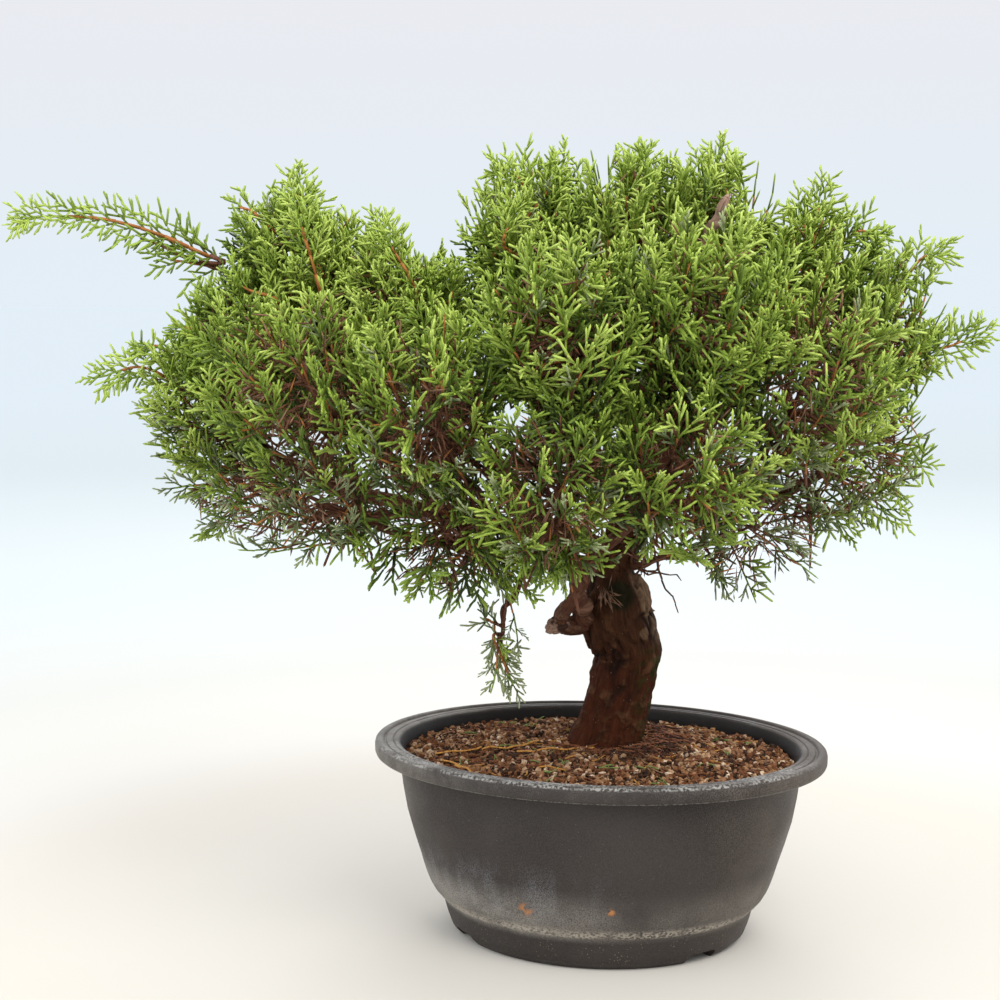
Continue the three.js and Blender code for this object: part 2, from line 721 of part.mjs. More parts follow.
function hasRoom(mass, point) {
  return roomInside(mass, point) > spaceGap && clearOfLimbs(mass.middle, point, tuftRadius);
}

function shorten(mass, corner) {
  corner.reach -= tuftStep;
  corner.at = placeInSpace(mass, corner.direction, corner.reach);
}

function placeInSpace(mass, direction, reach) {
  return direction.clone().multiply(mass.size).multiplyScalar(reach).add(mass.middle);
}

function nearestCorner(corners, point) {
  const corner = new THREE.Vector3();
  let nearest = Infinity;
  for (let i = 0; i < corners.count; i += 1) {
    nearest = Math.min(nearest, corner.fromBufferAttribute(corners, i).distanceTo(point));
  }
  return nearest;
}

function makeMass(mass, seed) {
  const random = seededRandom(seed);
  const { path, start, radius } = mass.stem;
  const stemPath = (share) => path(THREE.MathUtils.lerp(start, 1, share));
  const stemRadius = (share) => radius * (1 - (1 - stemTipShare) * share);
  let solid = toSolid(limbGeometry(stemPath, stemRadius, stemSides, stemRings));
  if (mass.dense) {
    solid = solid.add(toSolid(coreGeometry(mass, random)));
  }
  const placed = [];
  const leaders = (mass.leaders ?? []).map(vector);
  for (const target of [...leaders, ...twigTargets(mass, mass.twigs, random)]) {
    const isLeader = leaders.includes(target);
    const root = path(stationFor(mass, target));
    const knee = root.clone().lerp(target, twigEndShare);
    const facing = new THREE.Vector3(random() - 0.5, random() - 0.5, random() + 0.3);
    if (!clearOfLimbs(root, knee, twigBaseRadius)) {
      continue;
    }
    const twigRadius = (share) => THREE.MathUtils.lerp(twigBaseRadius, twigTipRadius, share);
    const twigPath = (share) => root.clone().lerp(knee, share);
    solid = solid.add(toSolid(limbGeometry(twigPath, twigRadius, 3, 1)));
    const ahead = target.clone().sub(root).normalize();
    const side = facing.clone().cross(ahead).normalize();
    const lean = random() < 0.5 ? -sideSprayLean : sideSprayLean;
    const sprays = [{ at: 1, lean: 0, length: knee.distanceTo(target) }];
    if (root.distanceTo(knee) > shortTwig) {
      sprays.push({ at: sideSprayAt, lean, length: sideSprayLength });
    }
    for (const spray of sprays) {
      const direction = ahead.clone().addScaledVector(side, spray.lean).normalize();
      const base = root.clone().lerp(knee, spray.at).addScaledVector(ahead, -spraySink);
      const tip = base.clone().addScaledVector(direction, spray.length + spraySink);
      const width = isLeader ? leaderWidth : Math.min(sprayWidth, 1.15 * spray.length);
      const blade = sprayGeometry(base, tip, facing, width);
      const middle = base.clone().lerp(tip, sprayMiddle);
      const crowded = placed.some((earlier) => earlier.distanceTo(middle) < sprayApart);
      if (!crowded && fits(mass, blade, isLeader) && clearOfLimbs(base, tip, width / 2)) {
        solid = solid.add(toSolid(blade));
        placed.push(middle);
      }
    }
  }
  return toGeometry(solid);
}

const bonsai = new THREE.Group();
bonsai.name = 'juniper_bonsai';
bonsai.add(makeMesh('pot', makePot(), potPlastic));
bonsai.add(makeMesh('soil', makeSoil(), granules));

const tree = new THREE.Group();
tree.rotation.z = treeTurn;
bonsai.add(tree);
tree.add(makeMesh('trunk', makeTrunk(), bark));
for (const bough of boughs) {
  tree.add(makeMesh(bough.name, cutLimb(bough.name, bough.from), bark));
}
tree.add(makeMesh('dead_stub', cutLimb('dead_stub', stub.from), deadWood));
masses.forEach((mass, i) => {
  tree.add(makeMesh(mass.name, makeMass(mass, i + 1), foliage));
});

export default bonsai;
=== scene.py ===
import bpy
import math
import numpy as np
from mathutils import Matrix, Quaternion, Vector
from mathutils.bvhtree import BVHTree


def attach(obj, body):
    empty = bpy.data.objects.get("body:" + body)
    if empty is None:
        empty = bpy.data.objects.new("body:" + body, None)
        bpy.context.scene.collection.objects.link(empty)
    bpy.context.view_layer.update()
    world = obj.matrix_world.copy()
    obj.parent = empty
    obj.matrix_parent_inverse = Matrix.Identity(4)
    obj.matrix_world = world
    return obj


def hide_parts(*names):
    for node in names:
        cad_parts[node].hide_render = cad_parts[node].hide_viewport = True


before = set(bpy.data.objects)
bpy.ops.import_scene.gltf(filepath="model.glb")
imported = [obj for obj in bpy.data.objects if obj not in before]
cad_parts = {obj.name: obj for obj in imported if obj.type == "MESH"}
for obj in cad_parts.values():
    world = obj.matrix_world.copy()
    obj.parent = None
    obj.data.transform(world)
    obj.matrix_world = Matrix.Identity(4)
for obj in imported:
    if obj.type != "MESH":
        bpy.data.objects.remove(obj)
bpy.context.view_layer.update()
mm = 0.001
fullTurn = 2 * math.pi
goldenAngle = math.pi * (3 - math.sqrt(5))


# Helpers for pieces
def facing(way):
    return Vector(way).to_track_quat("-Z", "Y").to_euler()


def unit(v):
    return v / np.maximum(np.linalg.norm(v, axis=-1, keepdims=True), 1e-12)


def pick(*pieces):
    if bpy.context.object and bpy.context.object.mode != "OBJECT":
        bpy.ops.object.mode_set(mode="OBJECT")
    bpy.ops.object.select_all(action="DESELECT")
    for piece in pieces:
        piece.select_set(True)
    if pieces:
        bpy.context.view_layer.objects.active = pieces[0]


def joinPieces(pieces):
    pick(*pieces)
    bpy.ops.object.join()
    return pieces[0]


def settle(piece):
    pick(piece)
    bpy.ops.object.transform_apply(location=True, rotation=True, scale=True)
    return piece


def addShape(addPrimitive, **settings):
    pick()
    addPrimitive(**settings)
    return settle(bpy.context.object)


def addDisc(sides, radius, height=0.0):
    return addShape(bpy.ops.mesh.primitive_circle_add, vertices=sides, radius=radius, fill_type="NGON",
                    location=(0, 0, height))


def drawOut(piece, steps):
    pick(piece)
    bpy.ops.object.mode_set(mode="EDIT")
    bpy.ops.mesh.select_all(action="SELECT")
    for climb, height, across, deep in steps:
        bpy.ops.mesh.extrude_region_move(TRANSFORM_OT_translate={"value": (0, 0, climb)})
        bpy.ops.transform.resize(value=(across, deep, 1), center_override=(0, 0, height))
    bpy.ops.mesh.select_all(action="SELECT")
    bpy.ops.mesh.normals_make_consistent(inside=False)
    bpy.ops.object.mode_set(mode="OBJECT")
    return piece


def applyModifier(piece, kind, **settings):
    pick(piece)
    bpy.ops.object.modifier_add(type=kind)
    modifier = piece.modifiers[-1]
    for key, value in settings.items():
        setattr(modifier, key, value)
    bpy.ops.object.modifier_apply(modifier=modifier.name)


def readPoints(piece):
    points = np.zeros(len(piece.data.vertices) * 3, np.float32)
    piece.data.vertices.foreach_get("co", points)
    return points.reshape(-1, 3)


def writePoints(piece, points):
    piece.data.vertices.foreach_set("co", points.reshape(-1))
    piece.data.update()


def finishPiece(piece, name, material, slot, *nodes):
    settle(piece)
    piece.name = name
    piece.data.name = name
    piece.data.materials.clear()
    piece.data.materials.append(material)
    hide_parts(*nodes)
    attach(piece, "root")
    return piece


# Helpers for materials: a socket is fed a value or another socket, and knows its own tree
def feed(socket, value):
    if isinstance(value, bpy.types.NodeSocket):
        socket.id_data.links.new(value, socket)
    else:
        socket.default_value = (*value, 1) if socket.type == "RGBA" else value


def addNode(tree, kind, inputs={}, **settings):
    node = tree.nodes.new("ShaderNode" + kind)
    for key, value in settings.items():
        setattr(node, key, value)
    for key, value in inputs.items():
        feed(node.inputs[key], value)
    return node.outputs


def newMaterial(name, roughness, specular=0.5):
    material = bpy.data.materials.new(name)
    material.use_nodes = True
    shader = material.node_tree.nodes["Principled BSDF"].inputs
    feed(shader["Roughness"], roughness)
    feed(shader["Specular IOR Level"], specular)
    return material, shader, addNode(material.node_tree, "TexCoord")["Object"]


def product(*factors):
    result = factors[0]
    for factor in factors[1:]:
        result = addNode(result.id_data, "Math", {0: result, 1: factor}, operation="MULTIPLY")[0]
    return result


def rampMask(socket, low, high, least=0.0, most=1.0, curve="SMOOTHSTEP"):
    ends = {"Value": socket, "From Min": low, "From Max": high, "To Min": least, "To Max": most}
    return addNode(socket.id_data, "MapRange", ends, interpolation_type=curve)["Result"]


def bandMask(socket, low, peakLow, peakHigh, high):
    return product(rampMask(socket, low, peakLow), rampMask(socket, high, peakHigh))


def vectorMath(operation, *vectors):
    outputs = addNode(vectors[0].id_data, "VectorMath", dict(enumerate(vectors)), operation=operation)
    return outputs["Value" if operation in ("DISTANCE", "LENGTH", "DOT_PRODUCT") else "Vector"]


def mixColours(factor, first, second):
    return addNode(factor.id_data, "Mix", {0: factor, 6: first, 7: second}, data_type="RGBA")[2]


def paintLayers(colour, *layers):
    for paint, *factors in layers:
        colour = mixColours(product(*factors), colour, paint)
    return colour


def addBumps(shader, *bumps):
    under = {}
    for height, strength, distance in bumps:
        inputs = {"Height": height, "Strength": strength, "Distance": distance, **under}
        under = {"Normal": addNode(height.id_data, "Bump", inputs)[0]}
    feed(shader["Normal"], under["Normal"])


def newGroup(name, inputs, outputs):
    tree = bpy.data.node_groups.new(name, "ShaderNodeTree")
    tree.interface.new_socket(name="Vector", in_out="INPUT", socket_type="NodeSocketVector")
    for label, value in inputs.items():
        socket = tree.interface.new_socket(name=label, in_out="INPUT", socket_type="NodeSocketFloat")
        socket.default_value = value
    for label in outputs:
        tree.interface.new_socket(name=label, in_out="OUTPUT", socket_type="NodeSocketFloat")
    return tree, tree.nodes.new("NodeGroupInput").outputs, tree.nodes.new("NodeGroupOutput").inputs


def useGroup(group, vector, **values):
    return addNode(vector.id_data, "Group", {"Vector": vector, **values}, node_tree=group)


# Patches: soft-edged areas where a noise rises above a level
patchInputs = {"Scale": 50.0, "From": 0.45, "To": 0.6, "Detail": 4.0}
patches, given, made = newGroup("softPatches", patchInputs, ["Mask"])
noise = addNode(patches, "TexNoise", {key: given[key] for key in ("Vector", "Scale", "Detail")})["Fac"]
feed(made["Mask"], rampMask(noise, given["From"], given["To"]))

# Specks: small round dots scattered over a surface
specks, given, made = newGroup("fineSpecks", {"Scale": 300.0, "Size": 0.25}, ["Mask", "Shade"])
cells = addNode(specks, "TexVoronoi", {key: given[key] for key in ("Vector", "Scale")})
inside = addNode(specks, "Math", {0: cells["Distance"], 1: given["Size"]}, operation="LESS_THAN")[0]
feed(made["Mask"], inside)
feed(made["Shade"], addNode(specks, "SeparateColor", {0: cells["Color"]})["Red"])

# Fibres: noise drawn out along one axis, as in bark and dead wood
fibres, given, made = newGroup("longFibres", {"Scale": 300.0, "Stretch": 0.12}, ["Mask", "Cracks"])
stretch = addNode(fibres, "CombineXYZ", {"X": 1, "Y": 1, "Z": given["Stretch"]})[0]
drawn = vectorMath("MULTIPLY", given["Vector"], stretch)
strands = {"Vector": drawn, "Scale": given["Scale"], "Detail": 5.0, "Roughness": 0.65, "Distortion": 0.4}
ridges = {"Vector": drawn, "Scale": product(given["Scale"], 0.45)}
feed(made["Mask"], addNode(fibres, "TexNoise", strands)["Fac"])
ridgeAway = addNode(fibres, "TexVoronoi", ridges, feature="DISTANCE_TO_EDGE")["Distance"]
feed(made["Cracks"], rampMask(ridgeAway, 0.0, 0.16))


def patchMask(vector, scale, low, high, detail=8.0):
    return useGroup(patches, vector, Scale=scale, From=low, To=high, Detail=detail)["Mask"]


def nearMask(vector, centre, outer, inner):
    return rampMask(vectorMath("DISTANCE", vector, centre), outer, inner)


def dotMask(vector, scale, size, strength):
    dots = useGroup(specks, vector, Scale=scale, Size=size)
    return product(dots["Mask"], dots["Shade"], strength)


# The camera stands where the pot's rim and foot look as they do in the photo
view = {"place": (0.199, -1.0309, 0.3798), "ahead": (-0.2421, 0.9633, -0.1158), "lens": 64.8}
bpy.ops.object.camera_add(location=view["place"])
camera = bpy.context.object
camera.name = "camera"
camera.rotation_euler = facing(view["ahead"])
camera.data.lens = view["lens"]
bpy.context.scene.camera = camera
print("shared effects built and camera placed")

# The tree in its own frame, in millimetres: across, depth and height, turned a little against the pot.
# The trunk has a radius at each place; a mass has its centre, reach, own looks and leaders; a bough starts at
# a height on the trunk or a share of its parent, and has its bends, its mass and its radius
treeTurn = math.radians(14.1)
spaceGap = 0.4
trunkStations = np.array([
    (5, 12, 96, 26), (6, 12, 109, 23.5), (8, 12, 116, 21), (12.5, 13, 135, 20), (18, 16, 160, 20),
    (15.5, 16, 175, 22.5), (12, 16, 185, 24.5), (11, 18, 199, 20), (9, 22, 212, 14.5), (15, 26, 229, 11),
    (25, 26, 252, 9.5), (27, 22, 277, 8.5), (20, 15, 312, 7), (16, 8, 345, 6), (17, 4, 385, 4.5),
    (17, 0, 423, 3.5)])
masses = [
    ("long_shoot", (-262, -22, 409), (90, 34, 38),
     {"shoots": 0, "twigs": 0, "longest": 1.2, "lean": 0.6, "spacing": 2.8},
     [[(-214, -16, 395), (-228, -18, 401), (-250, -20, 411), (-273, -22, 418), (-295, -23, 421),
       (-318, -24, 421), (-336, -25, 417)], [(-218, -14, 393), (-240, -18, 396), (-258, -20, 400)]]),
    ("left_spire", (-174, 0, 400), (54, 58, 38), {},
     [[(-175, 0, 455)], [(-166, 0, 442)], [(-184, 0, 440)], [(-200, 0, 424), (-226, 0, 429)],
      [(-156, -42, 372), (-166, -44, 408), (-175, -40, 440)]]),
    ("left_shoulder", (-205, -20, 355), (48, 52, 46), {},
     [[(-262, -15, 360)], [(-180, -46, 372), (-198, -44, 380), (-214, -36, 391)]]),
    ("left_outer", (-228, -10, 315), (42, 54, 46), {},
     [[(-262, -10, 335), (-300, -10, 328)], [(-250, -12, 345), (-276, -10, 350)]]),
    ("left_low", (-208, 20, 262), (48, 62, 40), {"shoots": 13}, [[(-240, 20, 232)], [(-262, 10, 264)]]),
    ("left_front", (-164, -95, 333), (60, 52, 56), {"shoots": 34}, []),
    ("left_low_front", (-163, -80, 270), (60, 54, 42), {"shoots": 20}, [[(-137, -80, 232)]]),
    ("left_rear", (-200, 95, 345), (68, 62, 56), {}, []),
    ("left_crest", (-124, -10, 378), (52, 60, 40), {},
     [[(-127, -10, 428)], [(-84, -10, 396)], [(-104, -44, 376), (-116, -46, 400), (-128, -44, 420)],
      [(-88, -40, 372), (-80, -42, 396)], [(-92, -50, 385)], [(-84, 10, 392)], [(-90, 30, 384)]]),
    ("middle_front", (-97, -115, 323), (56, 52, 56), {}, [[(-70, -130, 352)], [(-84, -120, 372)]]),
    ("middle_rear", (-110, 110, 335), (62, 60, 60), {}, []),
    ("middle_low", (-90, -75, 250), (56, 52, 47), {"grey": 0.35},
     [[(-91, -75, 203)], [(-36, -76, 212)], [(-50, -76, 212)], [(-30, -76, 222)]]),
    ("hanging_spray", (-58, -50, 172), (22, 20, 30),
     {"shoots": 3, "twigs": 0, "longest": 0.85, "spacing": 1.9},
     [[(-66, -50, 196), (-64, -50, 186)], [(-62, -50, 186), (-55, -50, 168), (-46, -50, 147)],
      [(-57, -48, 176), (-52, -48, 160)]]),
    ("apex_left", (-40, 0, 409), (46, 60, 56), {},
     [[(-45, 0, 440), (-66, 0, 457)], [(-62, -30, 398), (-35, -20, 430), (-14, 0, 468)], [(-10, 0, 448)],
      [(-78, -10, 378)], [(-80, -15, 412)], [(-74, -42, 392)], [(-56, -50, 404), (-44, -48, 436)],
      [(-74, 0, 392)], [(-78, 20, 384)]]),
    ("apex_middle", (17, 0, 423), (50, 60, 44), {}, [[(22, 0, 464)], [(42, 0, 458)]]),
    ("apex_right", (66, 0, 420), (42, 56, 44), {}, [[(68, 0, 471)], [(73, 0, 459)]]),
    ("right_crest", (122, 0, 390), (48, 58, 42), {},
     [[(127, 0, 448)], [(113, 0, 436)], [(145, 0, 412), (170, 0, 412)]]),
    ("right_outer", (160, -5, 363), (44, 56, 52), {},
     [[(195, -5, 346), (229, -5, 359)], [(180, -5, 394), (202, -5, 408)]]),
    ("right_low", (148, 0, 287), (48, 62, 52), {"shoots": 25},
     [[(199, 0, 279)], [(182, 0, 243)], [(150, -10, 232)]]),
    ("right_hanging", (86, -30, 247), (50, 50, 46), {"shoots": 15}, [[(74, -30, 203)]]),
    ("upper_front_left", (-22, -115, 359), (58, 52, 60), {}, [[(-74, -95, 345)], [(-72, -100, 325)]]),
    ("upper_front_right", (45, -115, 370), (60, 52, 58), {}, []),
    ("lower_front_left", (-30, -125, 285), (56, 50, 60), {"grey": 0.35},
     [[(-36, -80, 209)], [(-52, -80, 216)], [(-24, -95, 218)]]),
    ("lower_front_right", (35, -120, 292), (56, 50, 56), {"grey": 0.35}, []),
    ("right_front", (105, -100, 338), (58, 54, 56), {}, []),
    ("rear_left", (-25, 120, 367), (62, 60, 62), {}, []),
    ("rear_right", (77, 115, 367), (64, 60, 60), {}, []),
    ("rear_low", (20, 115, 283), (62, 58, 46), {}, []),
]
boughs = [
    ("left_bough", "trunk", 222, [(-46, 10, 250), (-155, 5, 238)], "left_outer", 6.5),
    ("left_low_bough", "trunk", 212, [(-40, -20, 232), (-98, -40, 228)], "left_low_front", 5),
    ("left_low_limb", "left_bough", 0.55, [(-175, 30, 240)], "left_low", 3.6),
    ("left_spire_limb", "left_bough", 0.42, [(-150, 10, 330)], "left_spire", 4.5),
    ("left_shoulder_limb", "left_bough", 0.68, [(-190, -5, 300)], "left_shoulder", 3.6),
    ("long_shoot_limb", "left_spire_limb", 0.6, [(-190, -10, 385)], "long_shoot", 2.6),
    ("left_front_limb", "left_bough", 0.36, [(-125, -60, 290)], "left_front", 4),
    ("left_rear_limb", "left_bough", 0.48, [(-150, 60, 290)], "left_rear", 4.5),
    ("left_crest_limb", "left_bough", 0.25, [(-95, 0, 310)], "left_crest", 4.5),
    ("middle_front_limb", "left_low_bough", 0.26, [(-75, -75, 255)], "middle_front", 3.6),
    ("middle_rear_limb", "left_bough", 0.2, [(-60, 70, 275)], "middle_rear", 4.5),
    ("middle_low_limb", "left_low_bough", 0.42, [(-85, -50, 232)], "middle_low", 3),
    ("hanging_limb", "left_low_bough", 0.3, [(-60, -42, 215)], "hanging_spray", 2.6),
    ("right_bough", "trunk", 250, [(62, 10, 256), (106, 0, 246)], "right_low", 5.5),
    ("right_outer_limb", "right_bough", 0.5, [(140, 0, 285)], "right_outer", 4),
    ("right_front_limb", "right_bough", 0.35, [(85, -55, 275)], "right_front", 4),
    ("right_hanging_limb", "trunk", 214, [(55, -5, 222)], "right_hanging", 2.6),
    ("right_crest_limb", "trunk", 272, [(60, 10, 295), (105, 5, 335)], "right_crest", 5),
    ("apex_right_limb", "trunk", 300, [(32, -60, 375)], "apex_right", 4.5),
    ("apex_left_limb", "trunk", 338, [(-15, 5, 350)], "apex_left", 4.2),
    ("upper_right_limb", "trunk", 285, [(40, -60, 310)], "upper_front_right", 4),
    ("upper_left_limb", "trunk", 322, [(-5, -50, 325)], "upper_front_left", 4),
    ("front_bough", "trunk", 190, [(-64, -5, 158), (10, -35, 238)], "lower_front_right", 5.5),
    ("front_low_limb", "front_bough", 0.6, [(-20, -90, 255)], "lower_front_left", 3.4),
    ("rear_bough", "trunk", 243, [(35, 75, 275)], "rear_right", 5.5),
    ("rear_left_limb", "trunk", 302, [(0, 60, 330)], "rear_left", 4.5),
    ("rear_low_limb", "rear_bough", 0.35, [(25, 80, 262)], "rear_low", 3.4),
]
boughShape = {"tip": 0.6, "end": 0.45, "collar": 1.35}
knob = {"on": "front_bough", "radius": 2.5, "length": 0.5}
stub = {"from": "apex_right_limb", "along": 0.74, "tip": (67, -54, 432), "radius": 3.4, "taper": 0.45,
        "swell": 0.3}
massNames = [name for name, *_ in masses]
centres = np.array([centre for _, centre, *_ in masses], float)
reaches = np.array([reach for _, _, reach, *_ in masses], float)
weights = (reaches ** 2).mean(axis=1)


def toRow(points):
    across, deep, up = np.moveaxis(np.asarray(points, float), -1, 0)
    c, s = math.cos(treeTurn), math.sin(treeTurn)
    return np.stack([c * across - s * deep, s * across + c * deep, up], axis=-1) * mm


# Where limbs run: a smooth curve through the trunk's stations, and a Bezier curve for each bough
def throughPoints(points):
    points = np.asarray(points, float)
    guides = np.vstack([2 * points[0] - points[1], points, 2 * points[-1] - points[-2]])

    def path(shares):
        place = np.clip(np.atleast_1d(np.asarray(shares, float)), 0, 1) * (len(points) - 1)
        low = np.minimum(place.astype(int), len(points) - 2)
        t = (place - low)[:, None]
        p0, p1, p2, p3 = (guides[low + k] for k in range(4))
        t0, t1 = (p2 - p0) / 2, (p3 - p1) / 2
        return p1 + t0 * t + (3 * (p2 - p1) - 2 * t0 - t1) * t ** 2 + (2 * (p1 - p2) + t0 + t1) * t ** 3
    return path


def bezier(controls):
    def path(shares):
        t = np.atleast_1d(np.asarray(shares, float))[:, None]
        points = [np.asarray(c, float)[None, :] for c in controls]
        while len(points) > 1:
            points = [a + (b - a) * t for a, b in zip(points, points[1:])]
        return points[0]
    return path


trunkCurve = throughPoints(trunkStations[:, :3])


def trunkRadius(shares):
    place = np.clip(shares, 0, 1) * (len(trunkStations) - 1)
    return np.interp(place, np.arange(len(trunkStations)), trunkStations[:, 3])


# A mass's own space: its oval reach, cut flat halfway to each neighbour
def roomAmong(i, points):
    far = ((points[..., None, :] - centres) ** 2).sum(-1) - weights
    others = np.arange(len(masses)) != i
    apart = np.linalg.norm(centres[others] - centres[i], axis=-1)
    return ((far[..., others] - far[..., i, None]) / (2 * apart)).min(axis=-1)


def roomInside(i, points, overlap=0.0):
    room = (1 - np.linalg.norm((points - centres[i]) / reaches[i], axis=-1)) * reaches[i].min()
    return np.minimum(room, roomAmong(i, points) + overlap)


def entryShare(path, i, radius):
    shares = np.linspace(0, 1, 201)
    outside = np.flatnonzero(roomInside(i, path(shares)) < radius + spaceGap)
    return shares[min(outside[-1] + 1, 200)] if len(outside) else 0.0


def shareAtHeight(path, height):
    low, high = 0.0, 1.0
    for _ in range(30):
        middle = (low + high) / 2
        low, high = (middle, high) if path(middle)[0, 2] < height else (low, middle)
    return low


limbs = {}
stems = {}


def addLimb(name, whole, radiusAt, end=1.0):
    limbs[name] = {"whole": whole, "wholeRadius": radiusAt, "path": lambda t: whole(np.asarray(t) * end),
                   "radius": lambda t: radiusAt(np.asarray(t) * end)}


apex = massNames.index("apex_middle")
trunkEnd = entryShare(trunkCurve, apex, trunkStations[-1, 3])
addLimb("trunk", trunkCurve, trunkRadius, trunkEnd)
stems[apex] = (trunkCurve, trunkEnd)
for name, parentName, at, bends, massName, radius in boughs:
    parent = limbs[parentName]["path"]
    i = massNames.index(massName)
    whole = bezier([parent(at if at < 1 else shareAtHeight(parent, at))[0], *bends, centres[i]])
    tip = radius * boughShape["tip"]
    end = entryShare(whole, i, tip)
    swell = knob["radius"] if name == knob["on"] else 0.0
    stops = (0, end * knob["length"], end, 1)
    radii = (radius + swell, radius + (tip - radius) * knob["length"], tip, tip * boughShape["end"])
    addLimb(name, whole, lambda t, stops=stops, radii=radii: np.interp(t, stops, radii), end)
    stems[i] = (whole, end)
stubRoot = limbs[stub["from"]]["path"](stub["along"])[0]
stubPath = bezier([stubRoot, stub["tip"]])
addLimb("dead_stub", stubPath,
        lambda t: stub["radius"] * (1 - stub["taper"] * t + stub["swell"] * np.sin(t * math.pi)))

# Straight stretches of every limb, which leaves and twigs keep clear of
stops = np.linspace(0, 1, 13)
laid = [(limb["path"](stops), limb["radius"](stops)) for limb in limbs.values()]
segmentStart = np.vstack([points[:-1] for points, radii in laid])
segmentAhead = np.vstack([points[1:] for points, radii in laid]) - segmentStart
segmentRadius = np.concatenate([np.maximum(radii[:-1], radii[1:]) for points, radii in laid])


def clearOfLimbs(starts, ends, radius):
    clear = np.ones(len(starts), bool)
    for share in (0.35, 0.7, 1.0):
        toPoint = (starts + (ends - starts) * share)[:, None, :] - segmentStart
        t = np.clip((toPoint * segmentAhead).sum(-1) / (segmentAhead ** 2).sum(-1), 0, 1)
        away = np.linalg.norm(toPoint - t[..., None] * segmentAhead, axis=-1)
        clear &= (away > segmentRadius + radius + spaceGap).all(axis=1)
    return clear


print("limbs laid out:", len(limbs))

# Trunk and boughs: each is drawn out straight from a circle, gets its relief, and is bent along its path.
# A relief has its kind, size, strength and middle; plates are weighed by height
barkRelief = {
    "plates": ("VORONOI", 0.0082, 0.0046, 0.34), "swells": ("CLOUDS", 0.019, 0.004, 0.45),
    "flakes": ("CLOUDS", 0.003, 0.0019, 0.45),
}
squeeze = 1.9
grainShift = 0.37
limbLook = {
    "trunk": {"sides": 18, "rings": 40, "smooth": 3, "relief": 1.0, "wiggle": 0.0, "thinning": 1.3,
              "plates": ((96, 0.1), (135, 0.3), (160, 0.8), (175, 1.0), (240, 1.0)), "lobes": 0.06},
    "bough": {"sides": 8, "rings": 16, "smooth": 2, "relief": 0.45, "wiggle": 1.7, "thinning": 1.0,
              "plates": ((96, 0.6),), "lobes": 0.0},
}
lobeTop = 0.02
reliefTextures = {}
for label, (kind, size, strength, middle) in barkRelief.items():
    texture = bpy.data.textures.new(label + "Relief", kind)
    texture.noise_scale = size
    if kind == "VORONOI":
        texture.weight_1, texture.weight_2 = -1, 1
        texture.noise_intensity = 1.7
    reliefTextures[label] = texture


def bendAlong(piece, points):
    route = bpy.data.curves.new("limbRoute", "CURVE")
    route.dimensions = "3D"
    spline = route.splines.new("POLY")
    spline.points.add(len(points) - 1)
    for knot, point in zip(spline.points, points):
        knot.co = (*point, 1)
    guide = bpy.data.objects.new("limbRoute", route)
    bpy.context.scene.collection.objects.link(guide)
    applyModifier(piece, "CURVE", object=guide, deform_axis="POS_Z")
    bpy.data.objects.remove(guide)
    bpy.data.curves.remove(route)


def growLimb(name, path, radiusAt, look, collar=1.0):
    shares = np.linspace(0, 1, 121)
    phase = len(name) + 0.1 * len(bpy.data.meshes)
    swing = np.sin(np.outer(shares, (17, 23, 19)) + phase * np.array([1, 2, 3]))
    places = path(shares) + look["wiggle"] * np.sin(shares * math.pi)[:, None] * swing
    points = toRow(places)
    travelled = np.concatenate([[0], np.cumsum(np.linalg.norm(np.diff(points, axis=0), axis=1))])
    stops = travelled[-1] * np.linspace(0, 1, look["rings"] + 1) ** look["thinning"]
    radii = radiusAt(np.interp(stops, travelled, shares)) * mm
    radii = radii * (1 + (collar - 1) * np.exp(-(stops / (radii[0] * 2.2)) ** 2))
    grown = radii[1:] / radii[:-1]
    limb = addDisc(look["sides"], radii[0])
    drawOut(limb, zip(np.diff(stops) / squeeze, stops[1:] / squeeze, grown, grown))
    applyModifier(limb, "SUBSURF", levels=look["smooth"], render_levels=look["smooth"])
    before = readPoints(limb)
    around = np.arctan2(before[:, 1], before[:, 0])
    fade = np.clip(1 - before[:, 2] * squeeze / lobeTop, 0, 1)
    before[:, :2] *= (1 + look["lobes"] * np.cos(5 * around) * fade)[:, None]
    writePoints(limb, before)
    heights = np.interp(before[:, 2] * squeeze, travelled, places[:, 2])
    group = limb.vertex_groups.new(name="plates")
    steps = np.round(np.interp(heights, *zip(*look["plates"])) * 10).astype(int)
    for step in np.unique(steps):
        group.add(np.flatnonzero(steps == step).tolist(), step / 10, "REPLACE")
    for label, (kind, size, strength, middle) in barkRelief.items():
        applyModifier(limb, "DISPLACE", texture=reliefTextures[label], texture_coords="LOCAL",
                      vertex_group=label if label == "plates" else "", strength=strength * look["relief"],
                      mid_level=middle)
    risen = np.linalg.norm(readPoints(limb)[:, :2], axis=1) - np.linalg.norm(before[:, :2], axis=1)
    groove = limb.data.attributes.new("groove", "FLOAT", "POINT")
    groove.data.foreach_set("value", (risen / mm / look["relief"]).astype(np.float32))
    limb.scale = (1, 1, squeeze)
    straight = readPoints(settle(limb))
    straight[:, 2] += grainShift * (len(stems) + len(bpy.data.meshes) % 17)
    grain = limb.data.attributes.new("grain", "FLOAT_VECTOR", "POINT")
    grain.data.foreach_set("vector", straight.reshape(-1))
    bendAlong(limb, points)
    bpy.ops.object.shade_smooth()
    limb.name = name
    return limb


